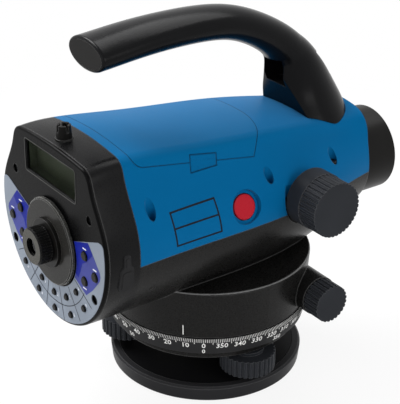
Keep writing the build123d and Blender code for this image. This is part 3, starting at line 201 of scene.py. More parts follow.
def surface(name, colour, rough, grain=0.6, dents=0.012, drift=0.10, patch=28.0, gloss_drift=0.06,
            metallic=0.0, specular=0.05, sheen=0.0, alpha=1.0, edge=0.35, wear_and_painted_light=0.0, wear_and_painted_light_colour=None,
            stretch=(1.0, 1.0, 1.0), dots=0.0, smooth=None, front=None, speck=0.0, rim=None):
    """A moulded, painted or turned finish: slow colour drift, fine grain and soft edges.

    wear_and_painted_light: how far the edges go to their edge colour, by default a paler one;
    paler edges are rubbed paint with a painted highlight, dark blue ones painted shade in the seams
    dots: makes pits this far apart instead of the grain
    smooth: (y, colour), gives what lies at a lower y a plain colour and a shallower grain
    front: colour of the faces turned to -Y, a painted reflection
    speck: share of pale specks, the paint's crinkle with painted glints
    rim: (radius, z) of a drum whose rounded upper edge gets a painted highlight line
    """
    material, tree, shader = principled(name)
    shader.inputs["Metallic"].default_value = metallic
    shader.inputs["Specular IOR Level"].default_value = specular
    shader.inputs["Alpha"].default_value = alpha
    shader.inputs["Sheen Weight"].default_value = sheen
    shader.inputs["Sheen Roughness"].default_value = sheen_rough
    source = tree.nodes.new("ShaderNodeTexCoord").outputs["Object"]
    mapping = tree.nodes.new("ShaderNodeMapping")
    mapping.inputs["Scale"].default_value = stretch
    tree.links.new(source, mapping.inputs["Vector"])
    coords = mapping.outputs["Vector"]

    low = [c * (1.0 - drift) for c in colour]
    high = [min(1.0, c * (1.0 + drift)) for c in colour]
    tint = add_ramp(tree, add_noise(tree, coords, patch), low, high)
    fine = add_noise(tree, coords, grain, fine_detail)
    # Pale specks: the paint's crinkle, with its glints painted in as colour
    if speck:
        grains_and_glints = add_range(tree, fine, 0.0, speck, *speck_span)
        tint = add_mix(tree, grains_and_glints, tint, (*[c * speck_gain for c in colour], 1.0))

    depth = dents * mm
    if smooth:
        step_y, plain = smooth
        ahead = add_range(tree, add_axes(tree, source)["Y"], 0.0, 1.0,
                          (step_y - smooth_blend) * mm, (step_y + smooth_blend) * mm)
        tint = add_mix(tree, ahead, (*plain, 1.0), tint)
        depth = add_range(tree, ahead, smooth_dents * depth, depth)

    # Painted highlight: a pale line along the drum's rounded upper edge
    if rim:
        axes = add_axes(tree, source)
        level = tree.nodes.new("ShaderNodeCombineXYZ")
        for axis in ("X", "Y"):
            tree.links.new(axes[axis], level.inputs[axis])
        reach = add_vector_math(tree, "LENGTH", level.outputs["Vector"])
        near = [add_math(tree, "COMPARE", length, (middle - rim_highlight_inset) * mm, rim_highlight_reach * mm)
                for length, middle in zip((reach, axes["Z"]), rim)]
        on_rim_highlight = add_math(tree, "MULTIPLY", *near)
        tint = add_mix(tree, on_rim_highlight, tint, (rim_highlight_grey, rim_highlight_grey, rim_highlight_grey, 1.0))

    normal = tree.nodes.new("ShaderNodeNewGeometry").outputs["Normal"]
    # Faces turned to -Y take a paler colour, a painted reflection
    if front:
        front_reflection_share = add_range(tree, add_axes(tree, normal)["Y"], 1.0, 0.0, *front_reflection_span)
        tint = add_mix(tree, front_reflection_share, tint, (*front, 1.0))

    bevel = tree.nodes.new("ShaderNodeBevel")
    bevel.samples = bevel_samples
    bevel.inputs["Radius"].default_value = edge * mm
    # Edges go to their edge colour: paler is rubbed paint with a painted highlight, darker is
    # painted shade in seams
    if wear_and_painted_light:
        match = add_vector_math(tree, "DOT_PRODUCT", bevel.outputs["Normal"], normal)
        share = add_range(tree, match, wear_and_painted_light, 0.0, *wear_and_light_span)
        wear_and_painted_light_colour = wear_and_painted_light_colour or [min(1.0, c * rubbed_highlight_gain + rubbed_highlight_lift) for c in colour]
        tint = add_mix(tree, share, tint, (*wear_and_painted_light_colour, 1.0))
    tree.links.new(tint, shader.inputs["Base Color"])

    gloss = add_range(tree, fine, rough - gloss_drift, rough + gloss_drift, *noise_span)
    tree.links.new(gloss, shader.inputs["Roughness"])
    height = fine
    if dots:
        cells = tree.nodes.new("ShaderNodeTexVoronoi")
        cells.inputs["Scale"].default_value = 1 / (dots * mm)
        cells.inputs["Randomness"].default_value = pit_random
        tree.links.new(coords, cells.inputs["Vector"])
        height = add_range(tree, cells.outputs["Distance"], 0.0, 1.0, *pit_span)
    grained = tree.nodes.new("ShaderNodeBump")
    if smooth:
        tree.links.new(depth, grained.inputs["Distance"])
    else:
        grained.inputs["Distance"].default_value = depth
    tree.links.new(height, grained.inputs["Height"])
    tree.links.new(bevel.outputs["Normal"], grained.inputs["Normal"])
    tree.links.new(grained.outputs["Normal"], shader.inputs["Normal"])
    return material


def clear_glass(name, colour, ior, rough=0.02, coat=0.0):
    """Coated glass or liquid with a faint drift in its tint."""
    material, tree, shader = principled(name)
    coords = tree.nodes.new("ShaderNodeTexCoord").outputs["Object"]
    pale = [min(1.0, c * glass_gain) for c in colour]
    tint = add_ramp(tree, add_noise(tree, coords, glass_patch), colour, pale)
    tree.links.new(tint, shader.inputs["Base Color"])
    shader.inputs["Roughness"].default_value = rough
    shader.inputs["Transmission Weight"].default_value = 1.0
    shader.inputs["IOR"].default_value = ior
    shader.inputs["Coat Weight"].default_value = coat
    shader.inputs["Coat Tint"].default_value = glass_coat
    return material


# Materials

housing_black = (0.0032, 0.0032, 0.0036)
# Dark blue that the blue parts' edges take: painted shade in the seams between lid, latch and shell
seam_shade_blue = (0.0, 0.020, 0.060)
blue_finish = dict(rough=0.45, grain=0.5, dents=0.008, drift=0.04, patch=50.0, specular=0.02,
                   wear_and_painted_light=0.9, wear_and_painted_light_colour=seam_shade_blue)
print_finish = dict(grain=0.3, dents=0.004, edge=0.05)
turned_finish = dict(grain=0.5, dents=0.004, metallic=1.0, stretch=(1.0, 1.0, 4.0))
# Paler edges on these finishes are rubbed paint together with a painted highlight
mat = {
    # Casting: paler edges, pale specks and the drum's rim line are painted highlights and glints,
    # partly rubbed paint and crinkle
    "casting": surface("casting_paint", (0.0078, 0.0076, 0.0074), 0.30, grain=0.7, dents=0.040,
                       edge=0.9, wear_and_painted_light=0.6, specular=0.10, speck=0.3,
                       smooth=(housing_back_y, housing_black), rim=(drum_r, ledge_z)),
    # Paler plate edges: rubbed paint with a painted highlight
    "foot": surface("foot_paint", (0.026, 0.026, 0.028), 0.36, grain=0.8, dents=0.030, edge=0.8,
                    wear_and_painted_light=0.6),
    "spring": surface("spring_paint", (0.0055, 0.0055, 0.0062), 0.40, grain=0.9, dents=0.020),
    "scale": surface("scale_paint", (0.022, 0.022, 0.023), 0.50, grain=0.5, dents=0.012, wear_and_painted_light=0.2),
    "housing": surface("black_moulding", (0.0070, 0.0068, 0.0066), 0.34, grain=0.5, dents=0.014,
                       edge=0.6, wear_and_painted_light=0.5),
    # Pale edges of the panel: a painted highlight along its rim and around its openings
    "panel": surface("panel_moulding", (0.0018, 0.0018, 0.0020), 0.26, grain=0.4, dents=0.006,
                     edge=0.6, wear_and_painted_light=1.0, wear_and_painted_light_colour=(0.10, 0.10, 0.10), specular=0.04),
    # Disc: paler rim, a painted highlight, and a paler front face, a painted reflection
    "disc": surface("disc_anodised", (0.0040, 0.0040, 0.0040), 0.24, grain=0.4, dents=0.006,
                    edge=0.4, wear_and_painted_light=1.0, wear_and_painted_light_colour=(0.45, 0.45, 0.43), specular=0.08,
                    front=(0.020, 0.0195, 0.018)),
    "handle": surface("handle_moulding", (0.0035, 0.0036, 0.0042), 0.22, grain=0.45, dents=0.006,
                      specular=0.085),
    "cap": surface("handle_cap", (0.0115, 0.0112, 0.0110), 0.40, grain=0.45, dents=0.014, wear_and_painted_light=0.4),
    "knob": surface("knob_moulding", (0.0240, 0.0262, 0.0308), 0.42, grain=0.5, dents=0.016,
                    edge=0.4, wear_and_painted_light=0.6),
    # Dioptre ring: paler front face, a painted reflection
    "dioptre": surface("dioptre_moulding", (0.0030, 0.0030, 0.0033), 0.24, grain=0.4, dents=0.006,
                       edge=0.35, wear_and_painted_light=0.12, wear_and_painted_light_colour=(0.30, 0.30, 0.28), specular=0.08,
                       front=(0.060, 0.058, 0.051)),
    "key": surface("key_rubber", (0.0022, 0.0022, 0.0026), 0.18, grain=0.4, dents=0.004, wear_and_painted_light=0.4,
                   specular=0.10),
    "blue": surface("blue_moulding", (0.0, 0.115, 0.292), sheen=0.14, edge=0.5, **blue_finish),
    "lid": surface("blue_lid", (0.0, 0.117, 0.292), sheen=0.16, edge=0.6, **blue_finish),
    # The latch's dark outline: painted shade in the gap around it
    "latch": surface("blue_latch", (0.0, 0.112, 0.285), 0.45, dents=0.12, dots=1.1, drift=0.04,
                     specular=0.02, sheen=0.10, edge=1.3, wear_and_painted_light=1.0, wear_and_painted_light_colour=seam_shade_blue),
    "film": surface("keypad_print", (0.215, 0.250, 0.305), 0.40, grain=0.3, dents=0.004, drift=0.05,
                    metallic=0.2, specular=0.15, edge=0.15),
    "deep_blue": surface("zone_deep", (0.004, 0.012, 0.230), 0.38, drift=0.06, **print_finish),
    "violet": surface("zone_violet", (0.048, 0.058, 0.255), 0.38, drift=0.06, **print_finish),
    "line": surface("print_dark", (0.010, 0.012, 0.018), 0.45, **print_finish),
    "white": surface("print_white", (0.88, 0.88, 0.86), 0.55, drift=0.05, **print_finish),
    "mark": surface("print_pale", (0.70, 0.73, 0.80), 0.50, drift=0.05, **print_finish),
    "rim": surface("display_rim", (0.034, 0.034, 0.032), 0.36, grain=0.3, dents=0.004, specular=0.2,
                   edge=0.1),
    "red": surface("button_red", (0.46, 0.009, 0.022), 0.30, grain=0.5, dents=0.006, drift=0.06,
                   specular=0.12),
    "steel": surface("turned_steel", (0.42, 0.42, 0.43), 0.30, **turned_finish),
    "dark_steel": surface("black_screw", (0.012, 0.012, 0.013), 0.36, grain=0.5, dents=0.006,
                          metallic=0.6, wear_and_painted_light=0.3),
    "brass": surface("turned_brass", (0.52, 0.37, 0.13), 0.28, **turned_finish),
    "anodised": surface("black_anodised", (0.0060, 0.0056, 0.0052), 0.34, grain=0.4, dents=0.008,
                        wear_and_painted_light=0.5, specular=0.10, stretch=(1.0, 4.0, 1.0)),
    "board": surface("green_board", (0.015, 0.13, 0.05), 0.42, grain=0.8, dents=0.010, drift=0.25,
                     patch=6.0),
    "battery": surface("battery_case", (0.014, 0.014, 0.015), 0.46, grain=0.5, dents=0.012,
                       wear_and_painted_light=0.2),
    "port": surface("port_rubber", (0.021, 0.021, 0.022), 0.62, grain=0.5, dents=0.020, edge=0.2),
    "display": surface("display_olive", (0.075, 0.092, 0.060), 0.30, grain=1.5, dents=0.002,
                       drift=0.12, patch=14.0, specular=0.03),
    "glass": clear_glass("coated_glass", (0.86, 0.92, 0.95), ior=1.5, coat=0.3),
    "eye_glass": clear_glass("eye_glass", (0.12, 0.13, 0.15), ior=1.2),
    "window": surface("display_glass", (0.006, 0.008, 0.005), 0.12, grain=1.5, dents=0.001,
                      drift=0.10, patch=14.0, gloss_drift=0.02, specular=0.03, alpha=0.15),
    "liquid": clear_glass("level_liquid", (0.70, 0.88, 0.30), ior=1.35),
}

painted = {
    "casting": ["lower_casing", "levelling_head"],
    "foot": ["foot_plate"],
    "spring": ["spring_plate"],
    "scale": ["circle_ring"],
    "panel": ["front_panel"],
    "disc": ["eyepiece_disc"],
    "housing": ["sight_post", "circular_level"],
    "handle": ["handle"],
    "cap": ["handle_end_cap"],
    "knob": ["focus_knob", "tangent_knob_right", "tangent_knob_left", "foot_screw_1",
             "foot_screw_2", "foot_screw_3"],
    "dioptre": ["dioptre_ring"],
    "blue": ["upper_shell"],
    "lid": ["battery_lid"],
    "latch": ["lid_latch"],
    "film": ["keypad_film"],
    "red": ["measure_button"],
    "steel": ["spindle", "tangent_worm", "lid_pin", "focus_pinion"],
    "dark_steel": ["panel_screws", "shell_screws"],
    "brass": ["worm_wheel"],
    "anodised": ["objective_barrel", "eyepiece_tube", "telescope_tube", "focus_cell",
                 "compensator"],
    "board": ["main_board", "sensor_board"],
    "battery": ["battery_pack"],
    "display": ["lcd_module"],
    "window": ["lcd_window"],
    "glass": ["objective_lens", "focus_lens", "beam_splitter"],
    "eye_glass": ["eyepiece_lens"],
    "key": [name for name in nodes if name.startswith("key_")],
}
for kind, names in painted.items():
    for name in names:
        nodes[name].data.materials.clear()
        nodes[name].data.materials.append(mat[kind])


# Outlines and meshes that the details are made of

corner_steps = 6
merge_reach = 1e-5
# Points on the axis of a turned piece stand this far off it
pole_r = 0.001
# Height of a digit as a share of the type size, how much bolder it is made, steps of its curves
digit_share = 0.70
digit_bold = 0.015
digit_steps = 2
# Half thickness that tells a digit's two faces apart before it is laid on its surface
digit_half = 0.5


def circle(x, y, r, count=24):
    angles = [2 * pi * k / count for k in range(count)]
    return [(x + r * cos(a), y + r * sin(a)) for a in angles]


def arc(x, y, r, start, end, count):
    angles = [radians(start + (end - start) * k / count) for k in range(count + 1)]
    return [(x + r * cos(a), y + r * sin(a)) for a in angles]


def rounded(x0, y0, x1, y1, r):
    """A rectangle with round corners."""
    loop = arc(x1 - r, y1 - r, r, 0, 90, corner_steps)
    loop += arc(x0 + r, y1 - r, r, 90, 180, corner_steps)
    loop += arc(x0 + r, y0 + r, r, 180, 270, corner_steps)
    loop += arc(x1 - r, y0 + r, r, 270, 360, corner_steps)
    return loop


def inside(point, loops):
    """Whether a point lies within an outline and outside its holes."""
    within = False
    for loop in loops:
        for (x0, y0), (x1, y1) in zip(loop, loop[1:] + loop[:1]):
            if (y0 > point[1]) != (y1 > point[1]):
                if point[0] < (x1 - x0) * (point[1] - y0) / (y1 - y0) + x0:
                    within = not within
    return within


def to_object(name, points, faces, material, body, smooth=False):
    mesh = bpy.data.meshes.new(name)
    mesh.from_pydata([tuple(c * mm for c in p) for p in points], [], faces)
    mesh.validate()
    mesh.update()
    for polygon in mesh.polygons:
        polygon.use_smooth = smooth
    mesh.materials.append(mat[material])
    thing = bpy.data.objects.new(name, mesh)
    bpy.context.scene.collection.objects.link(thing)
    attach(thing, body)


def sheet(loops, step, place, low, high, taper=0.0):
    """A closed sheet with holes between two depths on a surface; taper draws its upper face in."""
    verts, edges = [], []
    for loop in loops:
        first = len(verts)
        for (x0, y0), (x1, y1) in zip(loop, loop[1:] + loop[:1]):
            parts = max(1, int(hypot(x1 - x0, y1 - y0) / step))
            for k in range(parts):
                verts.append(Vector((x0 + (x1 - x0) * k / parts, y0 + (y1 - y0) * k / parts)))
        count = len(verts) - first
        edges += [(first + k, first + (k + 1) % count) for k in range(count)]
    xs = [v.x for v in verts]
    ys = [v.y for v in verts]
    for i in range(1, int((max(xs) - min(xs)) / step)):
        for j in range(1, int((max(ys) - min(ys)) / step)):
            point = (min(xs) + i * step, min(ys) + j * step)
            if inside(point, loops):
                verts.append(Vector(point))
    flat, _, faces, _, _, _ = delaunay_2d_cdt(verts, edges, [], 0, merge_reach)
    kept = []
    for face in faces:
        middle = sum((flat[k] for k in face), Vector((0, 0))) / len(face)
        if inside(middle, loops):
            kept.append(tuple(face))
    centre = Vector(((max(xs) + min(xs)) / 2, (max(ys) + min(ys)) / 2))
    upper = [v - (v - centre).normalized() * min(taper, (v - centre).length) for v in flat]
    points = [place(v.x, v.y, high) for v in upper] + [place(v.x, v.y, low) for v in flat]
    count = len(flat)
    used = {(a, b) for face in kept for a, b in zip(face, face[1:] + face[:1])}
    walls = [(b, a, a + count, b + count) for a, b in used if (b, a) not in used]
    lower = [tuple(k + count for k in reversed(face)) for face in kept]
    return points, kept + sorted(walls) + lower


def add_to(points, faces, more):
    """Joins a second mesh to the first."""
    faces += [tuple(k + len(points) for k in face) for face in more[1]]
    points += more[0]


def lathe(name, profile, centre, axis, material, body, count):
    """Closed piece turned from (radius, height) points about an axis through the centre."""
    axis = Vector(axis).normalized()
    side = axis.orthogonal().normalized()
    other = axis.cross(side)
    points, faces = [], []
    for k in range(count):
        a = 2 * pi * k / count
        out = side * cos(a) + other * sin(a)
        points += [tuple(Vector(centre) + out * r + axis * h) for r, h in profile]
    rows = len(profile)
    for k in range(count):
        n = (k + 1) % count
        for i in range(rows):
            j = (i + 1) % rows
            faces.append((k * rows + i, n * rows + i, n * rows + j, k * rows + j))
    to_object(name, points, faces, material, body, smooth=True)


def digits(text, height, place):
    """Plain upright digits about a centre, laid on a surface as thin solids."""
    curve = bpy.data.curves.new("digits", "FONT")
    curve.body = text
    curve.size = height / digit_share
    curve.align_x = "CENTER"
    curve.extrude = digit_half
    curve.offset = digit_bold * height
    curve.resolution_u = digit_steps
    letters = bpy.data.objects.new("digits", curve)
    mesh = bpy.data.meshes.new_from_object(letters)
    points = []
    for vertex in mesh.vertices:
        depth = print_t if vertex.co.z > 0 else -print_sink
        points.append(place(vertex.co.x, vertex.co.y - height / 2, depth))
    faces = [tuple(polygon.vertices) for polygon in mesh.polygons]
    bpy.data.objects.remove(letters)
    bpy.data.curves.remove(curve)
    bpy.data.meshes.remove(mesh)
    return points, faces


# Surfaces that prints are laid on


def on_film(x, z, depth):
    return (x, film_y - depth, z)


def on_panel(x, z, depth):
    return (x, panel_y - depth, z)


def cast(node, start, direction, depth):
    """The point where a ray meets a solid, moved out by the depth."""
    _, where, normal, _ = nodes[node].ray_cast(Vector(start) * mm, Vector(direction))
    return tuple((where + normal * depth * mm) / mm)


def on_flank(node):
    """Lays (y, z) on the right side of a solid, seen square from the right."""

    def place(y, z, depth):
        return cast(node, (ray_side_x, y, z), (-1, 0, 0), depth)

    return place


def on_round(node):
    """Lays (angle, z) on the outside of a solid turned about the vertical axis."""

    def place(angle, z, depth):
        a = radians(angle)
        start = (ray_round_r * cos(a), ray_round_r * sin(a), z)
        return cast(node, start, (-cos(a), -sin(a), 0), depth)

    return place


# Printed keyboard: coloured zones beside the eyepiece, lines between the keys and plain marks

key_spots = {}
for name in painted["key"]:
    low, high = box_mm(name)
    key_spots[name] = ((low.x + high.x) / 2, (low.z + high.z) / 2)

key_clear = 0.35
side_key_r = 2.5


def cut_keys(outline):
    """Openings for the keys that stand within an outline."""
    return [circle(x, z, side_key_r + key_clear) for x, z in key_spots.values()
            if inside((x, z), [outline])]


# The right-hand zones, as x and height over the line of sight; an arc along the disc closes them
zone_r = 24.9
zone_steps = 6
zone_grid = 4.0
deep_edge = [(36.5, 14.6), (40.6, 10.1), (40.1, 8.8), (34.7, 3.2), (30.2, 0.2), (28.4, -4.9),
             (26.2, -9.6)]
deep_arc = (-20, 23)
zone_edge = [(36.5, 14.6), (42.2, 8.3), (47.0, 2.6), (47.6, 0.4), (46.8, -2.4), (39.9, -10.6),
             (33.3, -16.5)]
zone_arc = (-27, 23)
for side, side_name in ((1, "right"), (-1, "left")):
    for label, edge, span, height, material in (
        ("zone", zone_edge, zone_arc, print_t, "violet"),
        ("zone_deep", deep_edge, deep_arc, 2 * print_t, "deep_blue"),
    ):
        outline = [(x, sight_z + z) for x, z in edge] + arc(0, sight_z, zone_r, *span, zone_steps)
        outline = [(side * x, z) for x, z in outline]
        loops = [outline] + cut_keys(outline)
        points, faces = sheet(loops, zone_grid, on_film, -print_sink, height)
        to_object(f"{label}_{side_name}", points, faces, material, "alidade")

line_half = 0.20
line_arc_r = 35.2
line_arc_span = 62.0
line_arc_steps = 60
line_start_r = 25.2
line_end_r = 44.0
line_angles = (-60.0, -36.5, -12.5, 12.5, 36.5, 60.0)
line_grid = 6.0
arc_start, arc_end = -90 - line_arc_span, -90 + line_arc_span
loop = arc(0, sight_z, line_arc_r + line_half, arc_start, arc_end, line_arc_steps)
loop += arc(0, sight_z, line_arc_r - line_half, arc_end, arc_start, line_arc_steps)
points, faces = sheet([loop], line_grid, on_film, -print_sink, print_t)
for angle in line_angles:
    a = radians(angle - 90)
    out = Vector((cos(a), sin(a)))
    across = Vector((-out.y, out.x)) * line_half
    ends = (out * line_start_r, out * line_end_r)
    corners = [ends[0] - across, ends[1] - across, ends[1] + across, ends[0] + across]
    loop = [(c.x, sight_z + c.y) for c in corners]
    add_to(points, faces, sheet([loop], line_grid, on_film, -print_sink, print_t))
to_object("keypad_lines", points, faces, "line", "alidade")

mark_h = 2.0
mark_gap = 3.5
bar_w = 3.4
bar_h = 0.7
bar_r = 0.315
bar_gap = 4.0
bar_grid = 2.0


def beside_key(x, z):
    """Lays a mark on the film beside a key, square to the line from the eyepiece."""
    a = Vector((0, -1)).angle_signed(Vector((x, z - sight_z)))

    def place(u, v, depth):
        u = u + mark_gap
        return on_film(x + u * cos(a) + v * sin(a), z - u * sin(a) + v * cos(a), depth)

    return place


points, faces = [], []
fan_names = sorted(name for name in key_spots if name.startswith("key_fan"))
for number, name in enumerate(fan_names):
    add_to(points, faces, digits(str(number), mark_h, beside_key(*key_spots[name])))
for name, (x, z) in key_spots.items():
    if name.startswith("key_side"):
        z += -bar_gap if name.endswith("2") else bar_gap
        bar = rounded(x - bar_w / 2, z - bar_h / 2, x + bar_w / 2, z + bar_h / 2, bar_r)
        bar_low = 2 * print_t - print_sink
        add_to(points, faces, sheet([bar], bar_grid, on_film, bar_low, 3 * print_t))
to_object("keypad_marks", points, faces, "mark", "alidade")

# Thin frame around the display's opening, a little paler than the panel

frame_w = 0.45
frame_h = 0.15
frame_grid = 4.0
opening_r = 1.4
opening_bevel = 0.5
window_lap = 0.9
lcd_low, lcd_high = box_mm("lcd_window")
lip = window_lap - opening_bevel
x0, z0, x1, z1 = lcd_low.x + lip, lcd_low.z + lip, lcd_high.x - lip, lcd_high.z - lip
loops = [rounded(x0 - frame_w, z0 - frame_w, x1 + frame_w, z1 + frame_w, opening_r + frame_w),
         rounded(x0, z0, x1, z1, opening_r)]
points, faces = sheet(loops, frame_grid, on_panel, -print_sink, frame_h)
to_object("display_frame", points, faces, "rim", "alidade")

# Fine notches around the rim of the eyepiece disc

knurl_count = 150
knurl_depth = 0.40
knurl_root = 0.02
knurl_sink = 0.3
knurl_chamfer = 0.55
knurl_y = disc_low.y + knurl_chamfer
# A section on every tooth and in every notch, each with this many points
sections = 2 * knurl_count
rows = 4
points, faces = [], []
for k in range(sections):
    a = pi * k / knurl_count
    inner = disc_r - knurl_sink
    outer = disc_r + (knurl_depth if k % 2 else knurl_root)
    for r, y in ((inner, knurl_y), (outer, knurl_y), (outer, disc_high.y), (inner, disc_high.y)):
        points.append((r * cos(a), y, sight_z + r * sin(a)))
for k in range(sections):
    n = (k + 1) % sections
    for i in range(rows):
        j = (i + 1) % rows
        faces.append((rows * k + i, rows * k + j, rows * n + j, rows * n + i))
to_object("disc_knurl", points, faces, "disc", "alidade")

# Graduated circle: degree strokes on the sloping band, two rows of plain numbers below

zero_angle = -37.0
band = 1.5
stroke_half = 0.15
stroke_top = 0.15
stroke_gap = 0.05
long_stroke_half = 0.18
five_low = 2.6
ten_low = 2.1
row_one = 3.7
row_two = 7.9
digit_one = 3.2
digit_two = 2.7
gon_degrees = 0.9
on_ring = on_round("circle_ring")


def upright(angle, half, low, high):
    """Outline of an upright stroke about an angle."""
    return [(angle - half, low), (angle + half, low), (angle + half, high), (angle - half, high)]


def stroke(degree, half, top, bottom):
    """One closed stroke between two heights below the circle's upper edge."""
    loop = upright(zero_angle - degree, half, ring_high.z - bottom, ring_high.z - top)
    points = [on_ring(u, z, print_t) for u, z in loop]
    points += [on_ring(u, z, -print_sink) for u, z in loop]
    faces = [(0, 1, 2, 3), (7, 6, 5, 4)]
    faces += [(k, k + 4, (k + 1) % 4 + 4, (k + 1) % 4) for k in range(4)]
    return points, faces


points, faces = [], []
for degree in range(360):
    add_to(points, faces, stroke(degree, stroke_half, stroke_top, band - stroke_gap))
    if degree % 5 == 0:
        reach = five_low if degree % 10 else ten_low
        add_to(points, faces, stroke(degree, long_stroke_half, band + stroke_gap, reach))
to_object("circle_strokes", points, faces, "white", "circle")


def ring_digits(number, degree, down, height):
    """A number on the circle's side, its middle a distance below the upper edge."""

    def place(u, v, depth):
        angle = zero_angle - degree + degrees(u / ring_high.x)
        return on_ring(angle, ring_high.z - down + v, depth)

    return digits(str(number), height, place)


points, faces = [], []
for degree in range(0, 360, 10):
    add_to(points, faces, ring_digits(degree, degree, row_one, digit_one))
for gon in range(0, 400, 50):
    add_to(points, faces, ring_digits(gon, gon * gon_degrees, row_two, digit_two))
to_object("circle_numbers", points, faces, "white", "circle")

# Index line on the drum, above the circle

index_angle = -48.3
index_half = 0.26
index_low = 1.4
index_high = 7.6
index_grid = 1.5
loop = upright(index_angle, index_half, drum_low_z + index_low, drum_low_z + index_high)
points, faces = sheet([loop], index_grid, on_round("lower_casing"), -print_sink, print_t)
to_object("index_line", points, faces, "white", "alidade")

# Rubber cover of the data port on the housing's right side, with a raised tab and neck

port_t = 0.7
port_taper = 0.5
port_sink = 0.1
port_grid = 1.6
# Outlines as y and height over the line of sight
port_edge = [(-88.4, 10.3), (-87.6, 11.1), (-85.0, 11.1), (-84.2, 10.3), (-84.0, 5.1),
             (-82.2, 3.3), (-81.4, -6.5), (-82.2, -9.1), (-84.6, -10.3), (-88.0, -10.3),
             (-90.4, -9.1), (-91.2, -6.5), (-90.4, 3.3), (-88.6, 5.1)]
port_tab = (-89.4, -8.6, -83.2, 2.2)
port_tab_r = 1.6
port_neck = (-87.5, 4.4, -85.1, 9.8)
port_neck_r = 1.1
raised_t = 0.5
raised_taper = 0.35
outline = [(y, sight_z + z) for y, z in port_edge]
on_housing = on_flank("lower_casing")
points, faces = sheet([outline], port_grid, on_housing, -port_sink, port_t, port_taper)
raised_low, raised_high = port_t - port_sink, port_t + raised_t
for (y0, z0, y1, z1), r in ((port_tab, port_tab_r), (port_neck, port_neck_r)):
    loop = rounded(y0, sight_z + z0, y1, sight_z + z1, r)
    raised = sheet([loop], port_grid, on_housing, raised_low, raised_high, raised_taper)
    add_to(points, faces, raised)
to_object("port_cover", points, faces, "port", "alidade")

# Bare name plate on the blue flank: a slanted frame with one divider

plate_corner = (-55.4, 107.0)
plate_w = 29.0
plate_h = 18.3
plate_slant = -0.105
plate_line = 0.9
plate_divider = 0.53
plate_grid = 1.2


def on_plate(u, v):
    return (plate_corner[0] + u + plate_slant * v, plate_corner[1] + v)


def plate_loop(left, low, right, high):
    return [on_plate(left, low), on_plate(right, low), on_plate(right, high), on_plate(left, high)]


middle = plate_h * plate_divider
right = plate_w - plate_line
loops = [plate_loop(0, 0, plate_w, plate_h),
         plate_loop(plate_line, plate_line, right, middle - plate_line / 2),
         plate_loop(plate_line, middle + plate_line / 2, right, plate_h - plate_line)]
points, faces = sheet(loops, plate_grid, on_flank("upper_shell"), -print_sink, print_t)
to_object("name_frame", points, faces, "line", "alidade")

# Low plugs over the lower ends of the cover screws

plug_spots = [(-67.7, 85.0), (61.0, 85.5)]
plug_r = 2.2
plug_crown_r = 1.5
plug_h = 0.45
plug_edge_h = 0.15
plug_sink = 0.6
# The casing's slope is read this far from a plug's middle
plug_grip = 3.2
plug_profile = [(pole_r, -plug_sink), (plug_r, -plug_sink), (plug_r, plug_edge_h),
                (plug_crown_r, plug_h), (pole_r, plug_h)]
for side, side_name in ((1, "right"), (-1, "left")):
    for number, (y, z) in enumerate(plug_spots, 1):
        around = []
        for u, v in ((-plug_grip, 0), (plug_grip, 0), (0, -plug_grip), (0, plug_grip)):
            start = (side * ray_side_x, y + u, z + v)
            around.append(Vector(cast("lower_casing", start, (-side, 0, 0), 0.0)))
        normal = (around[1] - around[0]).cross(around[3] - around[2]) * side
        centre = sum(around, Vector((0, 0, 0))) / len(around)
        lathe(f"cover_plug_{side_name}_{number}", plug_profile, centre, normal, "casting",
              "alidade", count=24)

# Circular level: a crowned glass with a ring mark

level_low, level_high = box_mm("circular_level")
level_centre = ((level_low.x + level_high.x) / 2, (level_low.y + level_high.y) / 2, level_high.z)
# Points as radius and height over the level's upper edge
glass_profile = [(pole_r, -2.8), (5.3, -2.8), (5.3, -0.6), (4.2, -0.25), (2.2, 0.05),
                 (pole_r, 0.15)]
mark_profile = [(2.0, 0.05), (2.3, 0.02), (2.3, 0.10), (2.0, 0.13)]
lathe("level_glass", glass_profile, level_centre, (0, 0, 1), "liquid", "alidade",
      count=40)
lathe("level_mark", mark_profile, level_centre, (0, 0, 1), "line", "alidade",
      count=40)

# Retaining ring in front of the objective lens

lens_y = box_mm("objective_lens")[1].y
lens_axis = (0, 0, sight_z)
# Points as radius and distance in front of the lens
ring_profile = [(20.4, -0.6), (22.3, -0.6), (22.3, 1.6), (21.2, 1.6), (20.4, 0.8)]
lathe("lens_ring", [(r, lens_y + ahead) for r, ahead in ring_profile], lens_axis, (0, 1, 0),
      "anodised", "alidade", count=72)

# Floor, world and lamps, in metres and watts

scene = bpy.context.scene
scene.view_settings.view_transform = "Standard"

floor_half = 6.0
floor_colour = (0.90, 0.90, 0.90)
# The floor shows this share of plain white near the object, and only white far from it
floor_white = 0.88
floor_near = 0.10
floor_far = 0.45
world_level = 0.40


def seen_rays(tree):
    """1 for rays that show the background: camera, glossy and transmission rays."""
    rays = tree.nodes.new("ShaderNodeLightPath").outputs
    seen = rays["Is Camera Ray"]
    for kind in ("Is Glossy Ray", "Is Transmission Ray"):
        seen = add_math(tree, "MAXIMUM", seen, rays[kind])
    return seen


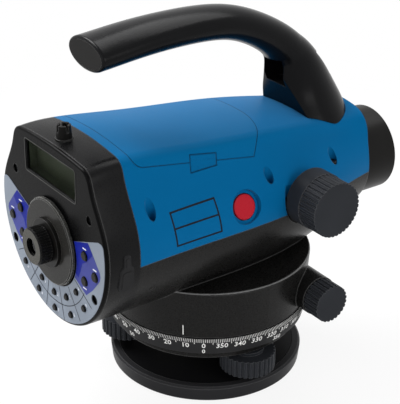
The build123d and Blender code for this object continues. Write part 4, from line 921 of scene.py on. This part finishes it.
def floor_paper():
    """Pale paper that fades to plain white away from the object and keeps the shadow near it."""
    material = surface("floor_paper", floor_colour, 0.9, grain=2.0, dents=0.0, drift=0.01)
    tree = material.node_tree
    coords = tree.nodes.new("ShaderNodeTexCoord").outputs["Object"]
    away = add_vector_math(tree, "LENGTH", coords)
    share = add_range(tree, away, floor_white, 1.0, floor_near, floor_far)
    shown = add_math(tree, "MULTIPLY", share, seen_rays(tree))
    white = tree.nodes.new("ShaderNodeEmission")
    mixed = tree.nodes.new("ShaderNodeMixShader")
    tree.links.new(shown, mixed.inputs["Fac"])
    tree.links.new(tree.nodes["Principled BSDF"].outputs["BSDF"], mixed.inputs[1])
    tree.links.new(white.outputs["Emission"], mixed.inputs[2])
    tree.links.new(mixed.outputs["Shader"], tree.nodes["Material Output"].inputs["Surface"])
    return material


floor_mesh = bpy.data.meshes.new("floor")
corners = [(-floor_half, -floor_half, 0), (floor_half, -floor_half, 0), (floor_half, floor_half, 0),
           (-floor_half, floor_half, 0)]
floor_mesh.from_pydata(corners, [], [(0, 1, 2, 3)])
floor_mesh.materials.append(floor_paper())
floor = bpy.data.objects.new("floor", floor_mesh)
scene.collection.objects.link(floor)

world = bpy.data.worlds.new("studio")
scene.world = world
world.use_nodes = True
background = world.node_tree.nodes["Background"]
background.inputs["Color"].default_value = (1.0, 1.0, 1.0, 1.0)
strength = add_range(world.node_tree, seen_rays(world.node_tree), world_level, 1.0)
world.node_tree.links.new(strength, background.inputs["Strength"])


def softbox(name, place, size, power):
    """A rectangular lamp aimed at the middle of the object."""
    light = bpy.data.lights.new(name, "AREA")
    light.shape = "RECTANGLE"
    light.size, light.size_y = size
    light.energy = power
    thing = bpy.data.objects.new(name, light)
    thing.location = place
    aim = Vector((0, 0, sight_z * mm)) - Vector(place)
    thing.rotation_euler = aim.to_track_quat("-Z", "Y").to_euler()
    scene.collection.objects.link(thing)


softbox("key_box", (-0.80, -0.45, 1.05), (0.7, 0.7), 19.0)
softbox("top_box", (-0.30, 0.66, 1.31), (1.2, 0.6), 9.0)
softbox("front_box", (0.20, -1.25, 0.55), (1.1, 1.0), 3.0)
softbox("right_box", (1.25, 0.25, 0.65), (0.6, 0.6), 5.0)

# Camera at the photograph's angle

camera_place = Vector((523.6, -381.5, 416.3))
camera_aim = Vector((14.0, -15.1, 106.2))
camera_roll = 0.63
camera_data = bpy.data.cameras.new("camera")
camera_data.sensor_width = 36.0
camera_data.lens = 115.3
camera_data.clip_end = 50.0
camera = bpy.data.objects.new("camera", camera_data)
level_turn = (camera_aim - camera_place).to_track_quat("-Z", "Y").to_matrix()
turn = level_turn @ Matrix.Rotation(radians(camera_roll), 3, "Z")
camera.matrix_world = Matrix.Translation(camera_place * mm) @ turn.to_4x4()
scene.collection.objects.link(camera)
scene.camera = camera
